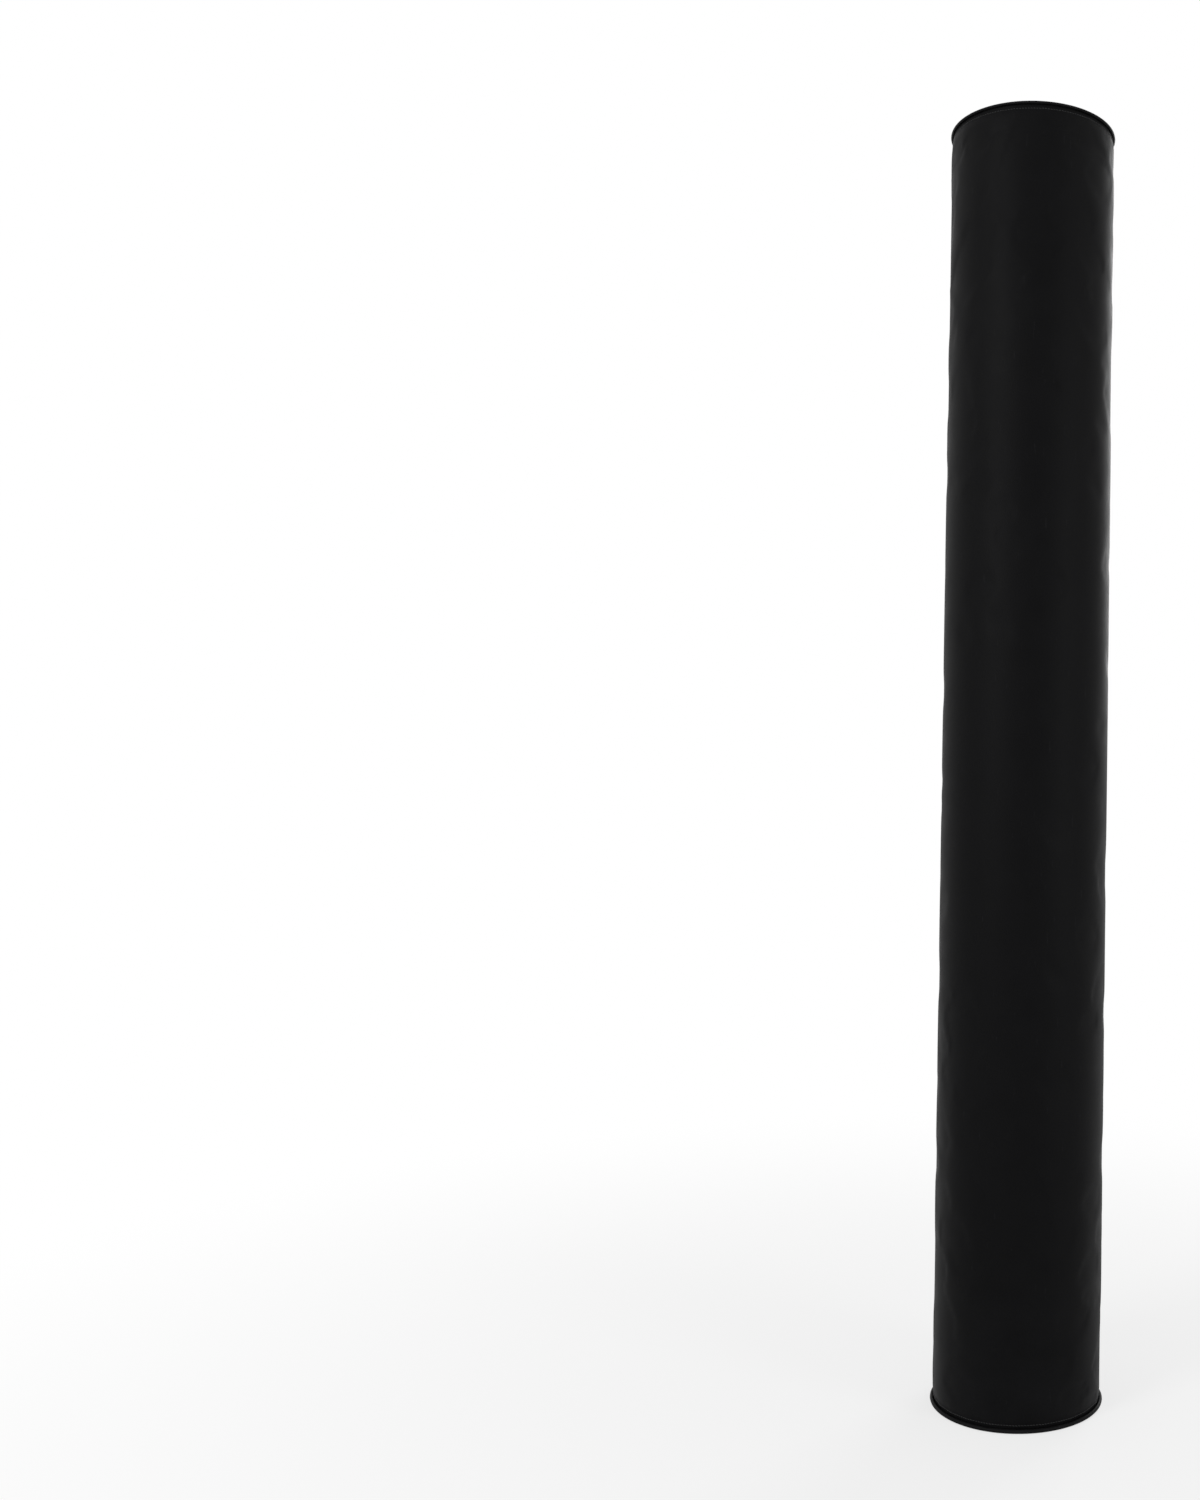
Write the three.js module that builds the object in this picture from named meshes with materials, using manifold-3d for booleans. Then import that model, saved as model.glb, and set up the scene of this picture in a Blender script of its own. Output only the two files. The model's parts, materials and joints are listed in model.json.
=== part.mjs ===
// Pole pad for a ball court: a split foam sleeve in a sewn vinyl cover, closed with hook and loop.
// It stands on z = 0 with the bore's axis on Z, its plain front towards -Y and its slit towards +Y.
// The main section reaches 210 degrees round the pole, and the wing swings out on a sewn fold.

import * as THREE from 'three';
import { mergeVertices } from 'three/addons/utils/BufferGeometryUtils.js';
import Module from 'manifold-3d';

const wasm = await Module();
wasm.setup();

const DEG = Math.PI / 180;

// Sleeve, from the pole outwards, in millimetres
const PAD_HEIGHT = 2000;
const POLE_RADIUS = 90;
const POLE_CLEARANCE = 1;
const LINING_THICKNESS = 1;
const FOAM_LAYER = 18;
const COVER_THICKNESS = 1.2;
const END_PANEL_THICKNESS = 1.2;
const SEAT_GAP = 0.3;

// Slit at the back, and the fold that the wing opens on
const WING_SPAN = 150 * DEG;
const WING_OPENING = 110 * DEG;
const SLIT_GAP = 1;
const SLIT_ROLL = 8;
const FOLD_GAP = 0.6;
const FOLD_BEVEL = 6;

// Butt seam of the main section's outer foam layer, to the right of the front
const FRONT_SEAM = 29 * DEG;

// Rims: the cover is drawn in to the seam, and a piping bead stands proud of it
const RIM_DRAW = 2;
const RIM_ROLL = 20;
const BEAD_DIAMETER = 6;
const BEAD_CLEARANCE = 1;
const BEAD_TO_SLIT = 6;
const FLANGE_WIDTH = 9;
const FLANGE_THICKNESS = 1;

// Closure: sizes across it are measured along the cover, from the slit
const FLAP_ROOT = 35;
const FLAP_THICKNESS = 1.2;
const FLAP_END_INSET = 15;
const FLAP_CORNER = 15;
const SEWN_EDGE_WIDTH = 20;
const BINDING_WIDTH = 9;
const BINDING_THICKNESS = 0.6;
const BINDING_TO_ROOT = 5;
const STRIP_WIDTH = 38;
const STRIP_THICKNESS = 1;
const STRIP_TO_SLIT = 10;
const STRIP_MARGIN = 3;

// How finely curves are cut into flat facets
const FACET_ANGLE = 6 * DEG;
const FLAP_FACETS = 16;
const BEAD_FACETS = 10;
const CORNER_FACETS = 4;
const rollShares = [0, 0.3, 0.7, 1];
const facetMarginShare = 0.3;

// Radii and heights that follow from the sizes above
const boreRadius = POLE_RADIUS + POLE_CLEARANCE;
const innerFoamRadius = boreRadius + LINING_THICKNESS + SEAT_GAP;
const innerFoamOuter = innerFoamRadius + FOAM_LAYER;
const outerFoamRadius = innerFoamOuter + SEAT_GAP;
const outerRadius = outerFoamRadius + FOAM_LAYER + SEAT_GAP + COVER_THICKNESS;
const coverSeat = COVER_THICKNESS + SEAT_GAP;
const foldHalf = FOLD_GAP / 2;
const slitHalf = SLIT_GAP / 2;
const foamToFold = foldHalf + LINING_THICKNESS + SEAT_GAP;
const panelSeat = END_PANEL_THICKNESS + SEAT_GAP;
const coverEnd = panelSeat + FLANGE_THICKNESS + SEAT_GAP;
const beadRadius = BEAD_DIAMETER / 2;
const rimRadius = outerRadius - RIM_DRAW;

// A bead is as far from the fold as its proud height needs when the wing is wide open
const beadProud = rimRadius + SEAT_GAP + BEAD_DIAMETER - outerRadius;
const beadToFold = beadProud / Math.tan((Math.PI - WING_OPENING) / 2) + BEAD_CLEARANCE;

// The flap clears its own binding over the cover, and climbs over the two strips
const flapEdge = STRIP_TO_SLIT + STRIP_WIDTH + STRIP_MARGIN + BINDING_WIDTH;
const stripEnd = FLAP_END_INSET + BINDING_WIDTH + STRIP_MARGIN;
const bindingReach = SEAT_GAP + BINDING_THICKNESS;
const loopRadius = outerRadius + SEAT_GAP;
const hookRadius = loopRadius + STRIP_THICKNESS + SEAT_GAP;
const flapRestRadius = outerRadius + SEAT_GAP + bindingReach;
const flapRaisedRadius = hookRadius + STRIP_THICKNESS + SEAT_GAP;
const sewnEdgeRadius = outerRadius + SEAT_GAP;
const flapOuterRadius = flapRestRadius + FLAP_THICKNESS;

// A half is one section of the sleeve: side 1 lies towards -X, side -1 towards +X
const wingHalf = { span: WING_SPAN, side: 1 };
const mainHalf = { span: 2 * Math.PI - WING_SPAN, side: -1 };

const materials = {
  cover: new THREE.MeshStandardMaterial({ color: 0x0b0b0c, roughness: 0.45, metalness: 0 }),
  foam: new THREE.MeshStandardMaterial({ color: 0x8f9092, roughness: 0.95, metalness: 0 }),
  lining: new THREE.MeshStandardMaterial({ color: 0x161617, roughness: 0.85, metalness: 0 }),
  piping: new THREE.MeshStandardMaterial({ color: 0x0c0c0d, roughness: 0.4, metalness: 0 }),
  strip: new THREE.MeshStandardMaterial({ color: 0x121213, roughness: 0.95, metalness: 0 }),
  binding: new THREE.MeshStandardMaterial({ color: 0x101011, roughness: 0.8, metalness: 0 }),
};

// A point of the plan at an angle from the slit, on the half's own side
function planPoint(half, radius, angle) {
  return new THREE.Vector2(-half.side * radius * Math.sin(angle), radius * Math.cos(angle));
}

// The angles of an arc's corners: its two ends, and the half's even facets between them
function arcAngles(half, from, to) {
  const count = Math.ceil(half.span / FACET_ANGLE);
  const facet = half.span / count;
  const margin = facetMarginShare * facet;
  const even = Array.from({ length: count - 1 }, (_, i) => facet * (i + 1));
  return [from, ...even.filter((angle) => angle > from + margin && angle < to - margin), to];
}

// Outside of a half from its fold to the slit, round the soft corner there and in to a radius
function outerPath(half, draw, inset, foldOffset, endRadius) {
  const cornerAcross = slitHalf + SLIT_ROLL;
  const fullAngle = Math.asin(cornerAcross / (outerRadius - SLIT_ROLL));
  const cornerAngle = Math.asin(cornerAcross / (outerRadius - draw - SLIT_ROLL));
  const foldAngle = half.span - Math.asin(foldOffset / outerRadius);
  const arc = [cornerAngle, ...arcAngles(half, fullAngle, foldAngle).slice(1)]
    .map((angle) => planPoint(half, outerRadius - draw - inset, angle));
  const centre = planPoint(half, outerRadius - draw - SLIT_ROLL, cornerAngle);
  const turn = cornerAngle + Math.PI / 2;
  const corner = Array.from({ length: CORNER_FACETS }, (_, i) =>
    planPoint(half, SLIT_ROLL - inset, cornerAngle - turn * (i + 1) / CORNER_FACETS).add(centre));
  const end = planPoint(half, endRadius, Math.asin((slitHalf + inset) / endRadius));
  return [...arc.reverse(), ...corner, end];
}

// Arc round the bore's side of a half, from the slit to the fold
function innerArc(half, radius, slitOffset, foldOffset) {
  const from = Math.asin(slitOffset / radius);
  const to = half.span - Math.asin(foldOffset / radius);
  return arcAngles(half, from, to).map((angle) => planPoint(half, radius, angle));
}

// Whole plan of a layer of a half, from its outer face to an inner radius
function layerOutline(half, draw, inset, foldOffset, innerRadius) {
  const inner = innerArc(half, innerRadius, slitHalf + inset, foldOffset);
  return [...outerPath(half, draw, inset, foldOffset, innerRadius), ...inner.slice(1)];
}

// Cover: round the outside and down the slit's face, as one folded sheet
function coverOutline(half, draw) {
  const outside = outerPath(half, draw, 0, foldHalf, boreRadius);
  const inside = outerPath(half, draw, COVER_THICKNESS, foldHalf, boreRadius);
  return [...outside, ...inside.reverse()];
}

// Lining: round the bore and out along the fold's face, to just inside the cover
function liningOutline(half) {
  const endRadius = rimRadius - coverSeat;
  const path = (inset) => [
    ...innerArc(half, boreRadius + inset, slitHalf + coverSeat, foldHalf + inset),
    planPoint(half, endRadius, half.span - Math.asin((foldHalf + inset) / endRadius)),
  ];
  return [...path(0), ...path(LINING_THICKNESS).reverse()];
}

// Outer foam: its edge at the fold is bevelled, to leave room for the cover when the wing opens
function outerFoamOutline(half, draw) {
  const bevelRadius = outerRadius - draw - coverSeat - FOLD_BEVEL;
  const outer = outerPath(half, draw, coverSeat, foamToFold + FOLD_BEVEL, outerFoamRadius);
  const inner = innerArc(half, outerFoamRadius, slitHalf + coverSeat, foamToFold);
  const bevel = planPoint(half, bevelRadius, half.span - Math.asin(foamToFold / bevelRadius));
  return [...outer, ...inner.slice(1), bevel];
}

function innerFoamOutline(half) {
  const angle = Math.asin((slitHalf + coverSeat) / innerFoamOuter);
  const foldAngle = half.span - Math.asin(foamToFold / innerFoamOuter);
  const outer = arcAngles(half, angle, foldAngle).map((a) => planPoint(half, innerFoamOuter, a));
  return [...outer.reverse(), ...innerArc(half, innerFoamRadius, slitHalf + coverSeat, foamToFold)];
}

// Drops the normals, joins shared corners and leaves out triangles that have no area
function closed(geometry) {
  geometry.deleteAttribute('normal');
  geometry.deleteAttribute('uv');
  const merged = mergeVertices(geometry);
  const corners = merged.index.array;
  const kept = [];
  for (let i = 0; i < corners.length; i += 3) {
    const [a, b, c] = corners.slice(i, i + 3);
    if (a !== b && b !== c && c !== a) kept.push(a, b, c);
  }
  merged.setIndex(kept);
  return merged;
}

// Upright solid of one plan from one height to another
function prism(outline, from, to) {
  const geometry = new THREE.ExtrudeGeometry(new THREE.Shape(outline), {
    depth: to - from,
    bevelEnabled: false,
  });
  geometry.translate(0, 0, from);
  return closed(geometry);
}

// Volume under the triangles, negative where they face inwards
function signedVolume(points, index) {
  let volume = 0;
  for (let i = 0; i < index.length; i += 3) {
    const [a, b, c] = index.slice(i, i + 3).map((corner) => points[corner]);
    volume += a.dot(b.clone().cross(c)) / 6;
  }
  return volume;
}

// A closed geometry as a solid that can be cut
function solid(geometry) {
  const vertProperties = Float32Array.from(geometry.attributes.position.array);
  const triVerts = Uint32Array.from(geometry.index.array);
  return new wasm.Manifold(new wasm.Mesh({ numProp: 3, vertProperties, triVerts }));
}

function geometryOf(cut) {
  const mesh = cut.getMesh();
  const geometry = new THREE.BufferGeometry();
  geometry.setAttribute('position', new THREE.BufferAttribute(mesh.vertProperties, mesh.numProp));
  geometry.setIndex(new THREE.BufferAttribute(mesh.triVerts, 1));
  return geometry;
}

// Closed solid through a row of rings with equal counts; flat gives a ring's outline at each end
function skin(rings, flat) {
  const count = rings[0].length;
  const points = rings.flat();
  const index = [];
  for (let ring = 0; ring < rings.length - 1; ring += 1) {
    for (let corner = 0; corner < count; corner += 1) {
      const next = (corner + 1) % count;
      const [a, b] = [ring * count + corner, ring * count + next];
      index.push(a, b, b + count, a, b + count, a + count);
    }
  }
  const last = (rings.length - 1) * count;
  const clockwise = THREE.ShapeUtils.isClockWise(flat[0]);
  for (const [i, j, k] of THREE.ShapeUtils.triangulateShape(flat[0], [])) {
    index.push(...(clockwise ? [i, j, k] : [k, j, i]));
  }
  for (const [i, j, k] of THREE.ShapeUtils.triangulateShape(flat[1], [])) {
    index.push(...(clockwise ? [last + k, last + j, last + i] : [last + i, last + j, last + k]));
  }
  if (signedVolume(points, index) < 0) index.reverse();
  const geometry = new THREE.BufferGeometry().setFromPoints(points);
  geometry.setIndex(index);
  return closed(geometry);
}

// Solid through plans at several heights
function loft(outlineAt, levels) {
  const outlines = levels.map(outlineAt);
  const rings = outlines.map((outline, i) =>
    outline.map((point) => new THREE.Vector3(point.x, point.y, levels[i].height)));
  return skin(rings, [outlines[0], outlines[outlines.length - 1]]);
}

// The same levels at the foot and, turned over, at the top
function bothEnds(levels) {
  const top = levels.map((level) => ({ ...level, height: PAD_HEIGHT - level.height }));
  return [...levels, ...top.reverse()];
}

// From the rim, where the seam draws the cover in, to the full width above the roll
function rollLevels() {
  return rollShares.map((share) => ({
    height: coverEnd + RIM_ROLL * share,
    draw: RIM_DRAW * (1 + Math.cos(Math.PI * share)) / 2,
  }));
}

// Outer foam layer, with a rebate round each end for the piping's flange
function outerFoamLayer(half) {
  const levels = bothEnds([{ height: panelSeat, draw: RIM_DRAW }, ...rollLevels()]);
  const layer = solid(loft(({ draw }) => outerFoamOutline(half, draw), levels));
  const rebate = solid(ring(rimRadius - FLANGE_WIDTH - SEAT_GAP, outerRadius, coverEnd));
  const topRebate = rebate.translate([0, 0, PAD_HEIGHT - coverEnd]);
  return layer.subtract(rebate).subtract(topRebate);
}

// The main section's outer layer up to its butt seam (turn -1), or from there to the fold (turn 1)
function outerFoamSheet(turn) {
  const seam = planPoint(mainHalf, turn, Math.PI - FRONT_SEAM);
  return geometryOf(outerFoamLayer(mainHalf).trimByPlane([seam.y, -seam.x, 0], SEAT_GAP / 2));
}

// Full ring of square section, standing on its lower face
function ring(innerRadius, radius, height) {
  const corners = [[innerRadius, 0], [radius, 0], [radius, height], [innerRadius, height], [innerRadius, 0]];
  const profile = corners.map(([across, up]) => new THREE.Vector2(across, up));
  const geometry = new THREE.LatheGeometry(profile, Math.round(2 * Math.PI / FACET_ANGLE));
  geometry.rotateX(Math.PI / 2);
  return closed(geometry);
}

// Section of the piping by radius and by distance from the end: a bead on a sewn flange
function pipingProfile() {
  const centre = new THREE.Vector2(rimRadius + SEAT_GAP + beadRadius, SEAT_GAP + beadRadius);
  const flangeEnd = panelSeat + FLANGE_THICKNESS;
  const start = Math.PI + Math.asin((centre.y - panelSeat) / beadRadius);
  const stop = 3 * Math.PI + Math.asin((centre.y - flangeEnd) / beadRadius);
  const bead = Array.from({ length: BEAD_FACETS + 1 }, (_, i) => {
    const angle = start + (stop - start) * i / BEAD_FACETS;
    return new THREE.Vector2(beadRadius * Math.cos(angle), beadRadius * Math.sin(angle)).add(centre);
  });
  const flangeInner = rimRadius - FLANGE_WIDTH;
  return [...bead, new THREE.Vector2(flangeInner, flangeEnd), new THREE.Vector2(flangeInner, panelSeat)];
}

function piping(half, heightAt) {
  const profile = pipingProfile();
  const from = Math.asin((slitHalf + BEAD_TO_SLIT) / outerRadius);
  const to = half.span - Math.asin((foldHalf + beadToFold) / outerRadius);
  const rings = arcAngles(half, from, to).map((angle) => profile.map((point) => {
    const plan = planPoint(half, point.x, angle);
    return new THREE.Vector3(plan.x, plan.y, heightAt(point.y));
  }));
  return skin(rings, [profile, profile]);
}

// A band of even thickness round part of the cover, between two places across the slit
function band(radius, thickness, from, to, end) {
  const facets = Math.ceil(Math.abs(to - from) / (outerRadius * FACET_ANGLE));
  const angles = Array.from({ length: facets + 1 }, (_, i) =>
    (from + (to - from) * i / facets) / outerRadius);
  const inner = angles.map((angle) => planPoint(wingHalf, radius, angle));
  const outer = angles.map((angle) => planPoint(wingHalf, radius + thickness, angle));
  return prism([...inner, ...outer.reverse()], end, PAD_HEIGHT - end);
}

// Inner radius of the flap: it climbs from the soft corner of the slit to the strips
function flapRadius(across) {
  const climbShare = (SLIT_ROLL - across) / (SLIT_ROLL + STRIP_TO_SLIT - SEAT_GAP);
  return flapRestRadius + (flapRaisedRadius - flapRestRadius) * THREE.MathUtils.smoothstep(climbShare, 0, 1);
}

// Flap with round corners on its free edge, grown on its faces and at its edges
function flapBlank(root, faceGrowth, edgeGrowth) {
  const corner = Math.max(FLAP_CORNER + edgeGrowth, SEAT_GAP);
  const levels = Array.from({ length: CORNER_FACETS + 1 }, (_, i) => {
    const angle = Math.PI / 2 * i / CORNER_FACETS;
    return {
      height: FLAP_END_INSET - edgeGrowth + corner * (1 - Math.cos(angle)),
      edge: -flapEdge - edgeGrowth + corner * (1 - Math.sin(angle)),
    };
  });
  const outlineAt = ({ edge }) => {
    const places = Array.from({ length: FLAP_FACETS + 1 }, (_, i) =>
      root + (edge - root) * i / FLAP_FACETS);
    const inner = places.map((across) =>
      planPoint(wingHalf, flapRadius(across) - faceGrowth, across / outerRadius));
    const outer = places.map((across) =>
      planPoint(wingHalf, flapRadius(across) + FLAP_THICKNESS + faceGrowth, across / outerRadius));
    return [...inner, ...outer.reverse()];
  };
  return loft(outlineAt, bothEnds(levels));
}

// Folded tape over the flap's free edges: a grown flap less the flap itself and its middle
function flapBinding() {
  const tape = solid(flapBlank(FLAP_ROOT - BINDING_TO_ROOT, bindingReach, bindingReach));
  const groove = solid(flapBlank(FLAP_ROOT, SEAT_GAP, SEAT_GAP));
  const middle = solid(flapBlank(FLAP_ROOT, 2 * bindingReach, -BINDING_WIDTH));
  return geometryOf(tape.subtract(groove).subtract(middle));
}

function piece(parent, name, geometry, material) {
  const mesh = new THREE.Mesh(geometry, material);
  mesh.name = name;
  parent.add(mesh);
  return mesh;
}

// All that one half of the sleeve is sewn and laminated from
function addSection(parent, name, half, outerFoam) {
  const foamHeights = [panelSeat, PAD_HEIGHT - panelSeat];
  const panel = layerOutline(half, RIM_DRAW, 0, foldHalf, boreRadius);
  const add = (part, geometry, material) => piece(parent, `${name}_${part}`, geometry, material);
  add('foam_inner', prism(innerFoamOutline(half), ...foamHeights), materials.foam);
  add('foam_outer', outerFoam, materials.foam);
  add('cover', loft(({ draw }) => coverOutline(half, draw), bothEnds(rollLevels())), materials.cover);
  add('lining', prism(liningOutline(half), ...foamHeights), materials.lining);
  add('bottom_panel', prism(panel, 0, END_PANEL_THICKNESS), materials.cover);
  const top = add('top_panel', prism(panel, 0, END_PANEL_THICKNESS), materials.cover);
  top.position.z = PAD_HEIGHT - END_PANEL_THICKNESS;
  add('bottom_piping', piping(half, (height) => height), materials.piping);
  add('top_piping', piping(half, (height) => PAD_HEIGHT - height), materials.piping);
}

// A group that turns about an upright line through a point of the plan
function hinged(parent, point) {
  const pivot = new THREE.Group();
  pivot.position.set(point.x, point.y, 0);
  const body = new THREE.Group();
  body.position.set(-point.x, -point.y, 0);
  pivot.add(body);
  parent.add(pivot);
  return body;
}

const pad = new THREE.Group();
pad.name = 'pole_pad';
addSection(pad, 'main', mainHalf, outerFoamSheet(-1));
piece(pad, 'front_foam_outer', outerFoamSheet(1), materials.foam);
const loopFrom = -STRIP_TO_SLIT;
const loopTo = -STRIP_TO_SLIT - STRIP_WIDTH;
piece(pad, 'loop_strip', band(loopRadius, STRIP_THICKNESS, loopFrom, loopTo, stripEnd), materials.strip);

// The wing turns about the cover's outer face at the fold
const wing = hinged(pad, planPoint(wingHalf, outerRadius, WING_SPAN));
addSection(wing, 'wing', wingHalf, geometryOf(outerFoamLayer(wingHalf)));
const sewnFrom = FLAP_ROOT + SEAT_GAP / 2;
const sewnEdge = band(
  sewnEdgeRadius,
  flapOuterRadius - sewnEdgeRadius,
  sewnFrom,
  sewnFrom + SEWN_EDGE_WIDTH,
  FLAP_END_INSET,
);
piece(wing, 'flap_sewn_edge', sewnEdge, materials.cover);

// The flap turns about its outer face, along the stitch line at its root
const flap = hinged(wing, planPoint(wingHalf, flapOuterRadius, FLAP_ROOT / outerRadius));
piece(flap, 'closure_flap', flapBlank(FLAP_ROOT - SEAT_GAP / 2, 0, 0), materials.cover);
piece(flap, 'hook_strip', band(hookRadius, STRIP_THICKNESS, loopFrom, loopTo, stripEnd), materials.strip);
piece(flap, 'flap_binding', flapBinding(), materials.binding);

export default pad;
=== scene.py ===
"""Looks of the pole pad: a split foam sleeve in a black vinyl cover, with piped rims and a closure flap.

Lengths are in metres and angles in radians, and the bore's axis is Z. An angle round the pad is counted
from the slit at +Y, over the wing on the -X side, past the fold and back round the main section. Places
on the flap are measured along the cover from the slit, positive on the wing's side.
"""

import functools
import json
import math

import bpy
import numpy as np
from mathutils import Matrix, Vector


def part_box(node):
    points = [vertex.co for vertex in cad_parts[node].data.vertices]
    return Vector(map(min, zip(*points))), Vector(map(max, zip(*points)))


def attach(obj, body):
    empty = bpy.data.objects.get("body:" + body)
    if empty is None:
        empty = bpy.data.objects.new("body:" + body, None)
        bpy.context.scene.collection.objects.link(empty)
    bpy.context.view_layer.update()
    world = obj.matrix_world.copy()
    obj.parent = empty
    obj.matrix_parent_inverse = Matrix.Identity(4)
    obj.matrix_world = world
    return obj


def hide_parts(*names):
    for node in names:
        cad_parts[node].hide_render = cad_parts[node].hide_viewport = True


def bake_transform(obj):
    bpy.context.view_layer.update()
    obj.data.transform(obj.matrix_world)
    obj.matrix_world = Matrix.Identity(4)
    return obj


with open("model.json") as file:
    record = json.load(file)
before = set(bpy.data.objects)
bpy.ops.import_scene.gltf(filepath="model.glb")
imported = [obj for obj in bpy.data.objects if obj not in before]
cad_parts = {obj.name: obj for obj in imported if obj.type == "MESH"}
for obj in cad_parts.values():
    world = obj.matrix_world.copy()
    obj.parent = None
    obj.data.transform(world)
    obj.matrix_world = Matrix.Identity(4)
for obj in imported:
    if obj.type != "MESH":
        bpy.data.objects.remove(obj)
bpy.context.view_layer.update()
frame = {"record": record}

bl_info = {
    "name": "Pole Pad",
    "version": (1, 0, 0),
    "blender": (4, 5, 0),
    "location": "View3D > Sidebar > Pole Pad",
    "description": "Dresses a split foam sleeve in vinyl, piping, lining, closure and thread",
    "category": "Object",
}

MM = 0.001
JOINTS = {joint["name"]: joint for joint in frame["record"]["behaviour"]["joints"]}

# Sleeve, as the frame has it
PAD_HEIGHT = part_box("main_top_panel")[1].z
COVER_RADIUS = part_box("main_cover")[1].x
COVER_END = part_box("main_cover")[0].z
COVER_THICKNESS = 1.2 * MM
LINING_THICKNESS = 1 * MM
BORE_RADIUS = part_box("main_lining")[1].x - LINING_THICKNESS
PANEL_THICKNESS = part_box("main_bottom_panel")[1].z
SEAT_GAP = 0.3 * MM
PANEL_SEAT = PANEL_THICKNESS + SEAT_GAP
COVER_SEAT = COVER_THICKNESS + SEAT_GAP

# Foam: inner and outer radius of each layer, and the rows between its rims
INNER_FOAM = (BORE_RADIUS + LINING_THICKNESS + SEAT_GAP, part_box("main_foam_inner")[1].x)
OUTER_FOAM = (INNER_FOAM[1] + SEAT_GAP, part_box("main_foam_outer")[1].x)
FOAM_LAYERS = {"inner": INNER_FOAM, "outer": OUTER_FOAM}
FOAM_MARGIN = 100 * MM
FOAM_ROWS = 10
REBATE_SLOPE = 0.1 * MM
CORNER_EASE = 0.2 * MM

# Slit at the back, fold of the wing, and the butt seam of the main section's outer foam
SLIT_HALF = 0.5 * MM
SLIT_ROLL = 8 * MM
FOLD_HALF = 0.3 * MM
FOLD_BEVEL = 6 * MM
FOLD_PLACE = JOINTS["wing_fold"]["pos_m"]
FOLD_ANGLE = math.atan2(-FOLD_PLACE[0], FOLD_PLACE[1])
SPANS = {"wing": FOLD_ANGLE, "main": 2 * math.pi - FOLD_ANGLE}
FRONT_SEAM = math.radians(209)
FOAM_TO_FOLD = FOLD_HALF + LINING_THICKNESS + SEAT_GAP
BEND_REACH = 15 * MM
BEND_CUT = 18 * MM / COVER_RADIUS
FOLD_CUTS = (FOLD_ANGLE - BEND_CUT, FOLD_ANGLE + BEND_CUT)

# Rims
RIM_DRAW = 2 * MM
RIM_ROLL = 20 * MM
RIM_RADIUS = COVER_RADIUS - RIM_DRAW
BEADS = {"top": 2 * MM, "bottom": 3 * MM}
BEAD_TO_SLIT = 6 * MM
BEAD_TAPER = np.array([0, 1.0, 2.4, 4.2]) * MM
BEAD_EVEN = 6 * MM
BEAD_SIDE = 1.2 * MM
TAPER_SCALE = 0.45
TAPER_SINK = 1.6 * MM
FLANGE_WIDTH = 9 * MM
FLANGE_THICKNESS = 1 * MM
WELT_STITCH = 8 * MM

# Highest sines at which the flange's two faces meet a tapered bead
BEAD_GRIP = (0.9, 0.8)

# Slack of the cover, its gathers beside the welts and the pull of the stitches
SLACK_COLUMNS = 105
SLACK_ROWS = 201
SLACK_EASE = 40 * MM
FOAM_GIVE = 0.2 * MM
WAVES_ROUND = (1, 7)
WAVES_UP = (0.4, 4.5)
HELD_BY_FLAP = 68 * MM
GATHER_PITCH = (14 * MM, 24 * MM)
GATHER_LENGTH = (18 * MM, 36 * MM)
GATHER_WIDTH = (3.6 * MM, 5.4 * MM)
GATHER_SHARE = (0.35, 1.2)
GATHER_DIP = -0.45
GATHER_START = 3 * MM
GATHER_RISE = 5 * MM
MOST_GATHERS = 60
LAST_GATHER = 20 * MM
STITCH_PULL = 0.25 * MM
STITCH_PULL_WIDTH = 2.5 * MM
STITCH_PULL_EASE = 14 * MM

# Corners of the lining and of the end panels, which are turned into the bore
LINING_CORNER = 3 * MM
LINING_SWAY = 0.35 * MM
SWAY_HELD = 60 * MM
SWAY_EASE = (0.06, 0.25)
PANEL_ROLL = 3 * MM
PANEL_TURN = 6 * MM
PANEL_EASE = 22 * MM
PANEL_EDGE = RIM_RADIUS - 2 * MM
PANEL_UNEVEN = 0.18 * MM
PANEL_GATHER = 0.4
PANEL_WAVES = 25
LINING_END = PANEL_TURN + SEAT_GAP
LINING_ROWS = 121

# Last points of an end panel: distance in from the rim, dip, and share of the thickness that is left
PANEL_SEAM = ((0.7 * MM, 0.12 * MM, 0.9), (0.0, 0.4 * MM, 0.66))

# Closure flap and its hem
FLAP_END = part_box("closure_flap")[0].z
FLAP_HEIGHT = PAD_HEIGHT - 2 * FLAP_END
FLAP_ROOT = 35 * MM
ROOT_BEND = 5 * MM
FLAP_EDGE = -60 * MM
FLAP_CORNER = 15 * MM
FLAP_THICKNESS = 1.2 * MM
FLAP_LAID = 16 * MM
FLAP_UNEVEN = 0.14 * MM
FLAP_DROOP = 0.5 * MM
FLAP_RIPPLE = 0.6
HEM_START = FLAP_ROOT + 0.2 * MM
HEM_EDGE = 55.15 * MM
HEM_ROLL = 1.05 * MM
HEM_ROWS = (43.5 * MM, 51 * MM)
HEM_PULL = 0.22 * MM
HEM_PULL_WIDTH = 1.4 * MM
HEM_HOLLOW = 0.05 * MM
HEM_UNDER = COVER_RADIUS + 0.3 * MM
HEM_FACE = COVER_RADIUS + 2.4 * MM
REST_RADIUS = COVER_RADIUS + 1.2 * MM
LAID_RADIUS = COVER_RADIUS + 0.85 * MM
RAISED_RADIUS = COVER_RADIUS + 2.9 * MM
CLIMB = (8 * MM, -9.7 * MM)

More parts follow.
